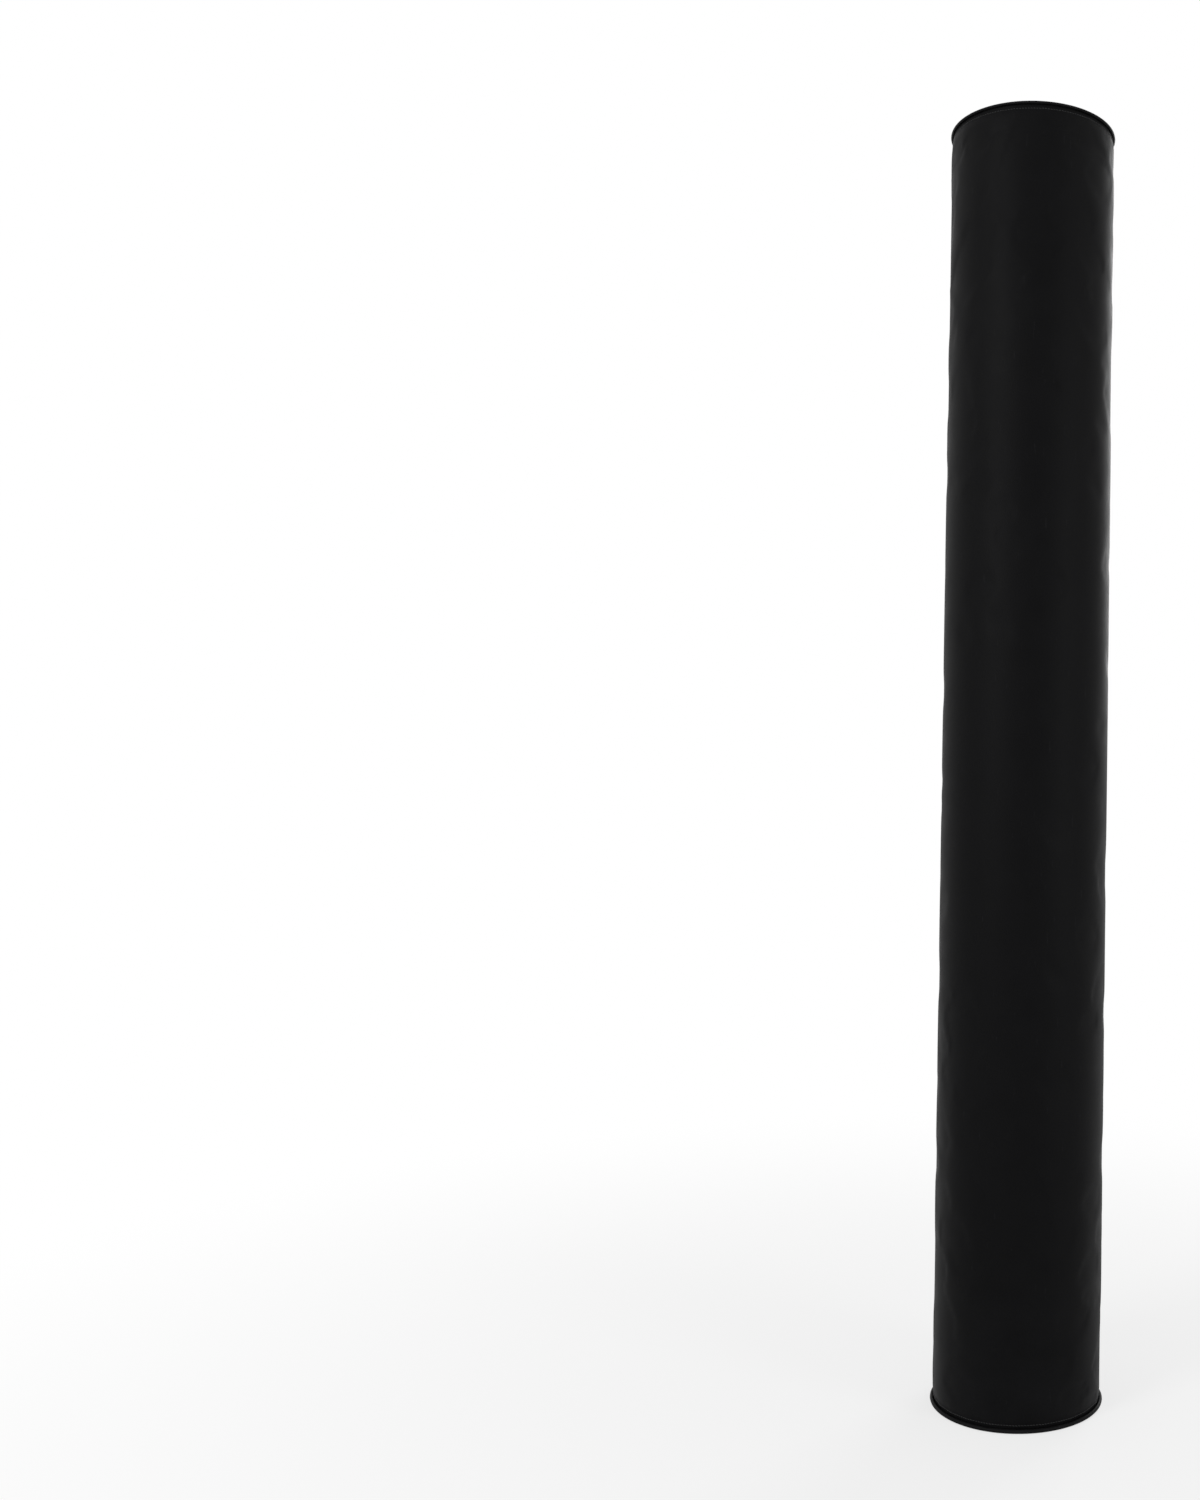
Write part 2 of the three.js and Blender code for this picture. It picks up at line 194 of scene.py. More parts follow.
# Binding of the flap, and the two strips
BINDING_START = 25 * MM
BINDING_WIDTH = 9 * MM
BINDING_REACH = 0.9 * MM
BINDING_THICKNESS = 0.6 * MM
BINDING_EASE = 0.05 * MM
BINDING_LIP = (0.5 * MM, 0.2 * MM)
STRIP_FROM = -10 * MM
STRIP_TO = -48 * MM
STRIP_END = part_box("loop_strip")[0].z
LOOP_FACES = (COVER_RADIUS + 0.05 * MM, COVER_RADIUS + 1.4 * MM)
HOOK_DEPTH = 1.2 * MM
HOOK_SUNK = 0.05 * MM
SELVEDGE = 0.35 * MM
SELVEDGE_WIDTH = 3 * MM
PILE_UNEVEN = 0.05 * MM
PILE_WAVES = (40, 6)

# Places of the stitched rows, as distances from the edges that they follow
ROW_END = 4 * MM
BORE_ROW = 1.5 * MM
STRIP_ROW = 2.6 * MM
BINDING_ROW = 2 * MM
WELT_ROW_END = 12 * MM

# How deep the thread lies in the hem, in the loops and in the hooks
SUNK_IN_HEM = 0.2 * MM
SUNK_IN_LOOPS = 0.05 * MM
SUNK_IN_HOOKS = 0.1 * MM

# Rows and columns of the meshes
ARC_STEP = 4 * MM
FINE_STEP = 3 * MM
LONG_STEP = 10 * MM
ROW_STEP = 2 * MM
RIM_BAND = 72 * MM
FACE_STEPS = 5
CORNER_STEPS = 6
BEAD_SIDES = 16
PANEL_RINGS = 12
FLAP_COLUMNS = 30
FLAP_CORNER_COLUMNS = 8
ROOT_COLUMNS = 11
HEM_COLUMNS = 13
STRIP_COLUMNS = 14
BINDING_COLUMNS = 10
BINDING_ROWS = 96
BOW_POINTS = 7
TURN_POINTS = 9
SIDE_POINTS = 9
ROW_POINTS = 191
THREAD_SIDES = 4
SHARP_ANGLE = math.radians(50)


# Values that a user may change


def length_prop(name, description, default):
    return bpy.props.FloatProperty(name=name, description=description, default=default, unit="LENGTH")


def angle_prop(name, description, default):
    return bpy.props.FloatProperty(name=name, description=description, default=default, unit="ROTATION")


def color_prop(name, description, default):
    return bpy.props.FloatVectorProperty(
        name=name, description=description, default=default, subtype="COLOR"
    )


class PadSizes(bpy.types.PropertyGroup):
    """Sizes of what the sewing and the filling do to the sheets"""

    slack_limit: length_prop("Slack limit", "Furthest that the slack cover lifts off the foam", 1.1 * MM)
    cloth_growth: bpy.props.FloatProperty(
        name="Cloth growth",
        description="Share by which the cover is cut larger than the foam",
        default=0.006,
        subtype="FACTOR",
    )
    cloth_frames: bpy.props.IntProperty(
        name="Cloth frames", description="Frames that the cover's slack settles for", default=20
    )
    pucker_height: length_prop("Pucker height", "Height of the gathers beside the piped seams", 1 * MM)
    stitch_pitch: length_prop("Stitch pitch", "Length of one stitch with its gap", 4.4 * MM)
    thread_width: length_prop("Thread width", "Thickness of the sewing thread", 1 * MM)
    panel_crown: length_prop("Panel crown", "How far the foam pushes the top end panel up", 1.6 * MM)
    flap_wave: length_prop("Flap wave", "How far the flap's free edge lifts between its grips", 0.9 * MM)


class PadFinish(bpy.types.PropertyGroup):
    """Colours of the sheets, tapes and foam"""

    vinyl_color: color_prop("Vinyl", "Colour of the cover", (0.003, 0.003, 0.0033))
    piping_color: color_prop("Piping", "Colour of the piping", (0.0035, 0.0035, 0.0038))
    lining_color: color_prop("Lining", "Colour of the bore's woven lining", (0.016, 0.016, 0.017))
    strip_color: color_prop("Hook and loop", "Colour of the closure strips", (0.008, 0.008, 0.0085))
    binding_color: color_prop("Binding", "Colour of the flap's bound edge", (0.013, 0.013, 0.014))
    thread_color: color_prop("Thread", "Colour of the sewing thread", (0.010, 0.010, 0.011))
    foam_color: color_prop("Foam", "Colour of the closed-cell foam", (0.28, 0.28, 0.29))


class PadStage(bpy.types.PropertyGroup):
    """Floor, background and camera"""

    background_color: color_prop("Background", "Colour seen behind the pad", (1.0, 1.0, 1.0))
    floor_color: color_prop("Floor", "Colour of the pale floor", (0.8, 0.8, 0.8))
    camera_place: bpy.props.FloatVectorProperty(
        name="Camera place",
        description="Where the camera stands",
        default=(0.0, -2.295, 0.929),
        subtype="XYZ",
    )
    camera_pitch: angle_prop("Camera pitch", "Tilt above the horizon", math.radians(2.11))
    camera_roll: angle_prop("Camera roll", "Turn about the line of sight", math.radians(0.79))
    camera_lens: bpy.props.FloatProperty(
        name="Camera lens", description="Focal length in millimetres", default=34.66
    )
    camera_shift: bpy.props.FloatProperty(
        name="Camera shift",
        description="Sideways shift, as a share of the frame's height",
        default=-0.2832,
    )


def sizes():
    return bpy.context.scene.pole_pad_sizes


# Plans and heights


def spot(angle, radius):
    """Plan points at angles round the pad."""
    return np.stack([-radius * np.sin(angle), radius * np.cos(angle)], axis=-1)


def point(angle, radius, up):
    """Points at angles round the pad, radii and heights."""
    angle, radius, up = np.broadcast_arrays(angle, radius, up)
    return np.concatenate([spot(angle, radius), up[..., None]], axis=-1)


def slit_side(draw, inset, inner_radius):
    """Plan of the slit's face and soft corner on the wing's side, and the corner's last angle."""
    centre_radius = COVER_RADIUS - draw - SLIT_ROLL
    angle = math.asin((SLIT_HALF + SLIT_ROLL) / centre_radius)
    turn = np.linspace(-math.pi / 2, angle, CORNER_STEPS + 1)
    corner = spot(angle, centre_radius) + spot(turn, SLIT_ROLL - inset)
    face = SLIT_HALF + inset
    start = math.sqrt(inner_radius**2 - face**2)
    depth = np.linspace(start, corner[0, 1], FACE_STEPS, endpoint=False)
    return np.concatenate([np.column_stack([np.full(FACE_STEPS, -face), depth]), corner]), angle


def step_count(length, step=ARC_STEP):
    return max(2, round(abs(length) / step) + 1)


def spaced(start, end, step):
    """Evenly spaced values from start to end, about a step apart."""
    return np.linspace(start, end, step_count(end - start, step))


def distances(points):
    """Distance along a row of points to each of them."""
    return np.concatenate([[0], np.cumsum(np.linalg.norm(np.diff(points, axis=0), axis=1))])


def from_rim(depth, rim):
    """Height at a depth under the pad's top, or as far over its foot."""
    return PAD_HEIGHT - depth if rim == "top" else depth


def rim_draw(height):
    """How far the seams at the rims draw the cover in at a height."""
    to_rim = np.minimum(height - COVER_END, PAD_HEIGHT - COVER_END - height)
    share = np.clip(to_rim / RIM_ROLL, 0, 1)
    return RIM_DRAW * (1 + np.cos(math.pi * share)) / 2


def cover_levels():
    """Heights of the cover's rows, close together near the rims."""
    low = COVER_END + spaced(0, RIM_BAND, FINE_STEP)
    high = PAD_HEIGHT - low[::-1]
    middle = spaced(low[-1], high[0], LONG_STEP)[1:-1]
    return np.concatenate([low, middle, high])


def smooth(share):
    share = np.clip(share, 0, 1)
    return share * share * (3 - 2 * share)


def waves(share, up, seed, count):
    """Seeded broad waves, over a share of the way round the pad and a height."""
    chance = np.random.default_rng(seed)
    total = np.zeros(np.broadcast(share, up).shape)
    for _ in range(count):
        around, climb = chance.uniform(*WAVES_ROUND), chance.uniform(*WAVES_UP)
        phase, turn = chance.uniform(0, 2 * math.pi, 2)
        upward = np.sin(2 * math.pi * climb * up / PAD_HEIGHT + turn)
        total += np.sin(2 * math.pi * around * share + phase) * upward
    return total / math.sqrt(count)


# Meshes


def new_object(name, data):
    made = bpy.data.objects.new(name, data)
    bpy.context.scene.collection.objects.link(made)
    return made


def grid_index(rows, columns):
    return np.arange(rows * columns).reshape(rows, columns)


def grid_faces(rows, columns):
    index = grid_index(rows, columns)
    corners = [index[:-1, :-1], index[:-1, 1:], index[1:, 1:], index[1:, :-1]]
    return np.stack(corners, axis=-1).reshape(-1, 4)


def tube_faces(rings, sides):
    """Faces round a row of closed rings."""
    index = grid_index(rings, sides)
    ahead = np.roll(index, -1, axis=1)
    return np.stack([index[:-1], ahead[:-1], ahead[1:], index[1:]], axis=-1).reshape(-1, 4)


def border(rows, columns):
    """Indices round the edge of a grid, in the turn of its faces."""
    index = grid_index(rows, columns)
    return np.concatenate([index[0, :-1], index[:-1, -1], index[-1, :0:-1], index[:0:-1, 0]])


def unit(vectors):
    return vectors / np.maximum(np.linalg.norm(vectors, axis=-1, keepdims=True), 1e-12)


def grid_normals(grid):
    return unit(np.cross(np.gradient(grid, axis=1), np.gradient(grid, axis=0)))


def signed_volume(points, faces):
    a, b, c, d = (points[faces[:, i]] for i in range(4))
    return float((a * np.cross(b, c)).sum() + (a * np.cross(c, d)).sum()) / 6


def new_mesh(name, points, quads, sheet, material, normals=None, caps=()):
    """A closed piece, its faces turned outwards, with its place on the flat sheet kept at each point."""
    faces = [*quads.tolist(), *caps]
    if signed_volume(points, quads) < 0:
        faces = [face[::-1] for face in faces]
    mesh = bpy.data.meshes.new(name)
    mesh.from_pydata(points.tolist(), [], faces)
    flat = mesh.attributes.new("sheet", "FLOAT_VECTOR", "POINT")
    flat.data.foreach_set("vector", np.asarray(sheet, np.float32).ravel())
    mesh.polygons.foreach_set("use_smooth", np.ones(len(mesh.polygons), bool))
    mesh.materials.append(material)
    mesh.update()
    if normals is None:
        mesh.set_sharp_from_angle(angle=SHARP_ANGLE)
    else:
        mesh.normals_split_custom_set_from_vertices(normals.tolist())
    return new_object(name, mesh)


def shell(name, outer, inner, sheet, material, normals=None):
    """A closed sheet between an outer and an inner grid of the same size."""
    rows, columns = outer.shape[:2]
    count = rows * columns
    faces = grid_faces(rows, columns)
    edge = border(rows, columns)
    ahead = np.roll(edge, -1)
    rim = np.stack([ahead, edge, edge + count, ahead + count], axis=-1)
    faces = np.concatenate([faces, faces[:, ::-1] + count, rim])
    points = np.concatenate([outer.reshape(-1, 3), inner.reshape(-1, 3)])
    flat = np.tile(sheet.reshape(-1, 3), (2, 1))
    if normals is not None:
        normals = np.concatenate([normals.reshape(-1, 3), -normals.reshape(-1, 3)])
    return new_mesh(name, points, faces, flat, material, normals)


def swept(name, sections, sheet, material):
    """A closed solid through a row of closed sections, with a fan of faces over each end."""
    rings, count = sections.shape[:2]
    last_ring, middles = (rings - 1) * count, rings * count
    caps = []
    for corner in range(count):
        following = (corner + 1) % count
        caps.append([middles, following, corner])
        caps.append([middles + 1, last_ring + corner, last_ring + following])
    points, flat = (
        np.concatenate([grid.reshape(-1, 3), grid[[0, -1]].mean(axis=1)]) for grid in (sections, sheet)
    )
    return new_mesh(name, points, tube_faces(rings, count), flat, material, caps=caps)


def upright(plans, heights):
    """Grid of points with one plan at each height."""
    return np.stack([np.column_stack([plan, np.full(len(plan), z)]) for plan, z in zip(plans, heights)])


def on_sheet(across, up):
    """Grid of places on the flat sheet."""
    across, up = np.broadcast_arrays(across, up)
    return np.stack([across, up, np.zeros_like(up)], axis=-1)


def flat_places(plan, levels):
    """Places on the flat sheet: along the plan, and up."""
    return on_sheet(distances(plan), np.asarray(levels)[:, None])


# Nodes of the materials


def feed(tree, socket, value):
    """Links an output to a socket, or sets the socket's value."""
    if isinstance(value, bpy.types.NodeSocket):
        tree.links.new(value, socket)
    else:
        socket.default_value = value


def node(tree, kind, inputs=None, **settings):
    """A node with its settings made, and its sockets set or linked."""
    made = tree.nodes.new(kind)
    for name, value in settings.items():
        setattr(made, name, value)
    for name, value in (inputs or {}).items():
        feed(tree, made.inputs[name], value)
    return made


def math_node(tree, operation, *values):
    return node(tree, "ShaderNodeMath", dict(enumerate(values)), operation=operation).outputs[0]


def noise(tree, places, scale, detail, roughness=0.5):
    values = {"Vector": places, "Scale": scale, "Detail": detail, "Roughness": roughness}
    return node(tree, "ShaderNodeTexNoise", values).outputs["Fac"]


def color_of(value, factor=1.0):
    return (*(channel * factor for channel in value), 1.0)


def toned(tree, share, color, first, second):
    """A mix of two tones of a colour, each given as a factor or as another mix."""
    made = node(tree, "ShaderNodeMix", data_type="RGBA")
    sockets = {socket.identifier: socket for socket in made.inputs}
    feed(tree, sockets["Factor_Float"], share)
    for name, tone in (("A_Color", first), ("B_Color", second)):
        feed(tree, sockets[name], color_of(color, tone) if isinstance(tone, float) else tone)
    return next(socket for socket in made.outputs if socket.identifier == "Result_Color")


def ranged(tree, value, low, high):
    """A value from 0 to 1 spread from low to high."""
    made = node(tree, "ShaderNodeMapRange", {"Value": value, "To Min": low, "To Max": high})
    return made.outputs["Result"]


def effect_group(name, inputs, outputs):
    """An empty node group with named float inputs and outputs."""
    tree = bpy.data.node_groups.new(name, "ShaderNodeTree")
    for title, default in inputs.items():
        socket = tree.interface.new_socket(title, in_out="INPUT", socket_type="NodeSocketFloat")
        socket.default_value = default
    for title in outputs:
        tree.interface.new_socket(title, in_out="OUTPUT", socket_type="NodeSocketFloat")
    given = tree.nodes.new("NodeGroupInput").outputs
    made = tree.nodes.new("NodeGroupOutput").inputs
    return tree, given, made


def sheet_places(tree, per_metre):
    """Places on the flat sheet, times a number per metre."""
    places = node(tree, "ShaderNodeAttribute", attribute_name="sheet").outputs["Vector"]
    scaled = node(tree, "ShaderNodeVectorMath", {0: places}, operation="SCALE")
    feed(tree, scaled.inputs["Scale"], per_metre)
    return scaled.outputs["Vector"]


def fine_grain_group():
    """Pebbled grain of coated cloth: cells with soft valleys, uneven in size."""
    tree, given, made = effect_group("fine_grain", {"Per Metre": 700.0}, ["Height", "Patches"])
    places = sheet_places(tree, given["Per Metre"])
    bent = node(tree, "ShaderNodeTexNoise", {"Vector": places, "Scale": 0.35, "Detail": 2.0})
    shifted = node(tree, "ShaderNodeVectorMath", {0: bent.outputs["Color"], 1: places}, operation="ADD")
    values = {"Vector": shifted.outputs["Vector"], "Scale": 1.0, "Smoothness": 0.35}
    cells = node(tree, "ShaderNodeTexVoronoi", values, feature="SMOOTH_F1")
    dome = math_node(tree, "SUBTRACT", 1.0, cells.outputs["Distance"])
    pits = noise(tree, places, 2.6, 2.0)
    feed(tree, made["Height"], math_node(tree, "MULTIPLY_ADD", pits, 0.35, dome))
    feed(tree, made["Patches"], noise(tree, places, 0.03, 3.0))
    return tree


def handling_wear_group():
    """Rubbed and dusty places: all over a little, and more towards the foot."""
    tree, given, made = effect_group(
        "handling_wear", {"Amount": 0.3, "Foot Height": 0.25}, ["Rubbed", "Scratches"]
    )
    places = sheet_places(tree, 1.0)
    up = node(tree, "ShaderNodeSeparateXYZ", {"Vector": places}).outputs["Y"]
    low = math_node(tree, "SUBTRACT", 1.0, math_node(tree, "DIVIDE", up, given["Foot Height"]))
    foot = math_node(tree, "MAXIMUM", low, 0.25)
    spots = ranged(tree, noise(tree, places, 14.0, 5.0, 0.6), -1.1, 1.9)
    rubbed = math_node(tree, "MULTIPLY", math_node(tree, "MAXIMUM", spots, 0.0), foot)
    amount = math_node(tree, "MULTIPLY", rubbed, given["Amount"])
    feed(tree, made["Rubbed"], math_node(tree, "MINIMUM", amount, 1.0))
    stretch = {0: places, 1: (90.0, 9.0, 40.0)}
    lines = node(tree, "ShaderNodeVectorMath", stretch, operation="MULTIPLY").outputs["Vector"]
    thin = math_node(tree, "GREATER_THAN", noise(tree, lines, 3.0, 4.0), 0.69)
    feed(tree, made["Scratches"], math_node(tree, "MULTIPLY", thin, given["Amount"]))
    return tree


def plain_weave_group():
    """Over-and-under threads on the flat sheet."""
    tree, given, made = effect_group("plain_weave", {"Per Metre": 1400.0}, ["Height", "Gaps"])
    places = node(tree, "ShaderNodeSeparateXYZ", {"Vector": sheet_places(tree, given["Per Metre"])})
    along, up = places.outputs["X"], places.outputs["Y"]

    def arch(value):
        turned = math_node(tree, "MULTIPLY", value, math.pi)
        return math_node(tree, "ABSOLUTE", math_node(tree, "SINE", turned))

    def crossed(thread, other, shown):
        lifted = math_node(tree, "MULTIPLY", thread, math_node(tree, "MULTIPLY_ADD", other, 0.5, 0.5))
        return math_node(tree, "MULTIPLY", lifted, shown)

    warp, weft = arch(along), arch(up)
    parity = math_node(tree, "ADD", math_node(tree, "FLOOR", along), math_node(tree, "FLOOR", up))
    over = math_node(tree, "PINGPONG", parity, 1.0)
    under = math_node(tree, "SUBTRACT", 1.0, over)
    height = math_node(tree, "ADD", crossed(warp, weft, over), crossed(weft, warp, under))
    feed(tree, made["Height"], height)
    feed(tree, made["Gaps"], math_node(tree, "SUBTRACT", 1.0, height))
    return tree


EFFECTS = {
    "fine_grain": fine_grain_group,
    "handling_wear": handling_wear_group,
    "plain_weave": plain_weave_group,
}


def effect(tree, name, **values):
    """One of the shared effects, placed in a material with its own values."""
    placed = tree.nodes.new("ShaderNodeGroup")
    placed.node_tree = bpy.data.node_groups.get(name) or EFFECTS[name]()
    for title, value in values.items():
        placed.inputs[title.replace("_", " ")].default_value = value
    return placed.outputs


def principled(name, **constants):
    """A new material and its surface shader, with constants set on the shader's own sockets."""
    material = bpy.data.materials.new(name)
    material.use_nodes = True
    shader = material.node_tree.nodes["Principled BSDF"]
    for title, value in constants.items():
        shader.inputs[title.replace("_", " ")].default_value = value
    return material, material.node_tree, shader


def surfaced(tree, shader, color, roughness, height, depth):
    """Feeds a surface shader its colour, its roughness and the height of its relief."""
    bump = node(tree, "ShaderNodeBump", {"Height": height, "Distance": depth, "Strength": 1.0})
    feed(tree, shader.inputs["Base Color"], color)
    feed(tree, shader.inputs["Roughness"], roughness)
    feed(tree, shader.inputs["Normal"], bump.outputs["Normal"])


# Materials


def vinyl_material(name, color, roughness, grain, depth, wear):
    """Coated cloth: pebbled grain, uneven gloss, rubbed paler towards the foot."""
    material, tree, shader = principled(name, Specular_IOR_Level=0.05)
    grained = effect(tree, "fine_grain", Per_Metre=grain)
    worn = effect(tree, "handling_wear", Amount=wear, Foot_Height=0.3)
    patched = toned(tree, grained["Patches"], color, 0.8, 1.25)
    rubbed = toned(tree, worn["Rubbed"], color, patched, 3.2)
    scratched = toned(tree, worn["Scratches"], color, rubbed, 4.0)
    gloss = ranged(tree, grained["Patches"], roughness - 0.07, roughness + 0.07)
    worn_gloss = math_node(tree, "MULTIPLY_ADD", worn["Rubbed"], 0.18, gloss)
    surfaced(tree, shader, scratched, worn_gloss, grained["Height"], depth)
    return material


def woven_material(name, color, threads, depth, roughness):
    """Woven tape or cloth: threads over and under, with a painted highlight on the threads and painted
    shade, darker, between them.
    """
    material, tree, shader = principled(
        name, Specular_IOR_Level=0.2, Sheen_Weight=0.15, Sheen_Roughness=0.5
    )
    weave = effect(tree, "plain_weave", Per_Metre=threads)
    worn = effect(tree, "handling_wear", Amount=0.35, Foot_Height=0.3)
    # Painted light: the colour is lightened on the threads' tops and darkened as painted shade in the gaps
    # between them
    weave_shade_and_highlight = toned(tree, weave["Gaps"], color, 1.25, 0.45)
    rubbed = toned(tree, worn["Rubbed"], color, weave_shade_and_highlight, 2.2)
    gloss = ranged(tree, weave["Gaps"], roughness, roughness + 0.1)
    surfaced(tree, shader, rubbed, gloss, weave["Height"], depth)
    return material


def pile_material(name, color, per_metre, depth, contrast):
    """Closure strip: a close pile of loops, or of hooks, on woven tape, with a painted highlight on its
    raised tufts and fuzz and painted shade between the tufts.
    """
    material, tree, shader = principled(
        name, Specular_IOR_Level=0.2, Sheen_Weight=0.25, Sheen_Roughness=0.6
    )
    places = sheet_places(tree, per_metre)
    values = {"Vector": places, "Scale": 1.0, "Randomness": contrast}
    tufts = node(tree, "ShaderNodeTexVoronoi", values).outputs["Distance"]
    fuzz = noise(tree, places, 1.9, 4.0, 0.7)
    weave = effect(tree, "plain_weave", Per_Metre=900.0)
    top = math_node(tree, "SUBTRACT", 1.0, tufts)
    fuzzed = math_node(tree, "MULTIPLY_ADD", fuzz, 0.6, top)
    height = math_node(tree, "MULTIPLY_ADD", weave["Height"], 0.25, fuzzed)
    # Painted light: the tufts are painted lighter on top and darker in the hollows between them, and the
    # raised fuzz is painted lighter
    tufts_shade_and_highlight = toned(tree, tufts, color, 1.5, 0.35)
    pile_painted_light = toned(tree, math_node(tree, "MULTIPLY", fuzz, 0.5), color, tufts_shade_and_highlight, 2.0)
    surfaced(tree, shader, pile_painted_light, ranged(tree, fuzz, 0.8, 1.0), height, depth)
    return material


def thread_material(name, color):
    """Twisted sewing thread: slanting strands, painted lighter on their crests and darker as painted shade
    in the grooves, with a slight lustre.
    """
    material, tree, shader = principled(name, Specular_IOR_Level=0.35, Sheen_Weight=0.1)
    values = {"Vector": sheet_places(tree, 1.0), "Scale": 520.0, "Distortion": 0.6}
    twist = node(tree, "ShaderNodeTexWave", values, bands_direction="DIAGONAL").outputs["Fac"]
    # Painted light: the strands' crests are painted lighter and the grooves between them darker
    strands_painted_light = toned(tree, twist, color, 0.6, 1.6)
    surfaced(tree, shader, strands_painted_light, ranged(tree, twist, 0.45, 0.7), twist, 0.05 * MM)
    return material


def foam_material(name, color):
    """Closed-cell foam: fine bubbles with painted shade in their pits, skived faces and a slightly uneven
    tone.
    """
    material, tree, shader = principled(name, Specular_IOR_Level=0.25)
    places = sheet_places(tree, 900.0)
    bubbles = node(tree, "ShaderNodeTexVoronoi", {"Vector": places, "Scale": 1.0}).outputs["Distance"]
    tone = noise(tree, places, 0.02, 3.0)
    # Painted shade: the colour is darkened in the bubbles' pits, where the relief is lowest
    pits_painted_shade = toned(tree, bubbles, color, 0.7, toned(tree, tone, color, 0.85, 1.15))
    surfaced(tree, shader, pits_painted_shade, ranged(tree, tone, 0.85, 0.98), bubbles, 0.15 * MM)
    return material


# How each material is made: its maker, its colour among the finishes, and the maker's values
MATERIALS = {
    "grained_vinyl": (
        vinyl_material, "vinyl_color", {"roughness": 0.5, "grain": 720.0, "depth": 0.09 * MM, "wear": 0.35}
    ),
    "panel_vinyl": (
        vinyl_material, "vinyl_color", {"roughness": 0.54, "grain": 720.0, "depth": 0.1 * MM, "wear": 0.6}
    ),
    "welt_vinyl": (
        vinyl_material, "piping_color", {"roughness": 0.42, "grain": 900.0, "depth": 0.05 * MM, "wear": 0.7}
    ),
    "woven_lining": (
        woven_material, "lining_color", {"threads": 1500.0, "depth": 0.12 * MM, "roughness": 0.7}
    ),
    "woven_tape": (
        woven_material, "binding_color", {"threads": 1900.0, "depth": 0.1 * MM, "roughness": 0.75}
    ),
    "loop_pile": (pile_material, "strip_color", {"per_metre": 800.0, "depth": 0.4 * MM, "contrast": 1.0}),
    "hook_pile": (pile_material, "strip_color", {"per_metre": 620.0, "depth": 0.5 * MM, "contrast": 0.25}),
    "sewing_thread": (thread_material, "thread_color", {}),
    "closed_cell_foam": (foam_material, "foam_color", {}),
}


def material_of(name):
    """One of the pad's materials, made when it is first asked for."""
    maker, color, values = MATERIALS[name]
    finish = bpy.context.scene.pole_pad_finish
    return bpy.data.materials.get(name) or maker(name, getattr(finish, color), **values)


# Sections: worked out on the wing's side, and turned over for the main section


def turned_over(points, section):
    return points * [-1, 1] if section == "main" else points


def beside_fold(section, across, out):
    """Plan point at a distance from the fold's plane and along it, on the wing's side of the pad."""
    span = SPANS[section]
    ahead = np.array([-math.cos(span), -math.sin(span)])
    return np.outer(out, spot(span, 1.0)) - np.outer(across, ahead)


def bent(piece, joint, angle, reach):
    """Bakes the piece's placement into its mesh; the piece is not bent over the joint."""
    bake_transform(piece)


def joined_to(piece, part, slot, *nodes):
    """A finished piece takes the place of its nodes and moves with its body; a piece on the fold is only
    baked in place.
    """
    if nodes:
        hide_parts(*nodes)
    if part == "fold":
        bent(piece, "wing_fold", FOLD_ANGLE, BEND_REACH)
    else:
        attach(piece, part)


# Foam


def foam_plans(draw, layer, section, start, end):
    """Outer and inner plans of a foam layer from the slit or a seam to a seam or the fold."""
    inner_radius, outer_radius = layer
    rounded = layer == OUTER_FOAM
    reach = COVER_RADIUS - COVER_SEAT - draw if rounded else outer_radius
    face = SLIT_HALF + COVER_SEAT
    half_gap = SEAT_GAP / 2
    at_fold = end == SPANS[section]
    bevelled = rounded and at_fold
    lead = lead_inner = np.zeros((0, 2))
    if start:
        outer_from = start + half_gap / reach
        inner_from = start + half_gap / inner_radius
    elif rounded:
        side, outer_from = slit_side(draw, COVER_SEAT, inner_radius)
        inner_from = outer_from
        lead = side[1:-1]
        first = math.asin((face + CORNER_EASE) / inner_radius)
        lead_inner = spot(np.linspace(first, inner_from, len(lead), endpoint=False), inner_radius)
    else:
        outer_from = math.asin(face / outer_radius)
        inner_from = math.asin(face / inner_radius)
    stand_off = FOAM_TO_FOLD if at_fold else half_gap
    outer_to = end - math.asin((stand_off + (FOLD_BEVEL if bevelled else 0)) / reach)
    inner_to = end - math.asin(stand_off / inner_radius)
    columns = step_count((end - start) * outer_radius, 2 * ARC_STEP)
    outer = [lead, spot(np.linspace(outer_from, outer_to, columns), reach)]
    inner = [lead_inner, spot(np.linspace(inner_from, inner_to, columns + bevelled), inner_radius)]
    if bevelled:
        bevel_radius = reach - FOLD_BEVEL
        outer.append(spot(end - math.asin(FOAM_TO_FOLD / bevel_radius), bevel_radius)[None])
    return [turned_over(np.concatenate(parts), section) for parts in (outer, inner)]


def foam_levels(layer):
    """Heights of a foam layer's rows, with how far the layer is drawn in at each."""
    levels = [(PANEL_SEAT, 0.0)]
    if layer == OUTER_FOAM:
        rebate = COVER_RADIUS - COVER_SEAT - (RIM_RADIUS - FLANGE_WIDTH - SEAT_GAP)
        flange_end = PANEL_SEAT + FLANGE_THICKNESS + REBATE_SLOPE
        roll = COVER_END + RIM_ROLL * np.linspace(0, 1, FACE_STEPS)
        levels = [(PANEL_SEAT, rebate), (flange_end, rebate), *zip(roll, rim_draw(roll))]
    middle = [(z, 0.0) for z in np.linspace(FOAM_MARGIN, PAD_HEIGHT - FOAM_MARGIN, FOAM_ROWS)]
    top = [(PAD_HEIGHT - height, draw) for height, draw in levels[::-1]]
    return levels + middle + top


def make_foam(part, side, section, start, end):
    layer = FOAM_LAYERS[side]
    heights, draws = zip(*foam_levels(layer))
    plans = [foam_plans(draw, layer, section, start, end) for draw in draws]
    outer, inner = (upright(face, heights) for face in zip(*plans))
    sheet = flat_places(plans[len(plans) // 2][0], heights)
    piece = shell(f"foam_{part}_{side}", outer, inner, sheet, material_of("closed_cell_foam"))
    joined_to(piece, section, "foam", f"{part}_foam_{side}")


# Cover


def corner_angle(draw):
    return slit_side(draw, 0, BORE_RADIUS)[1]


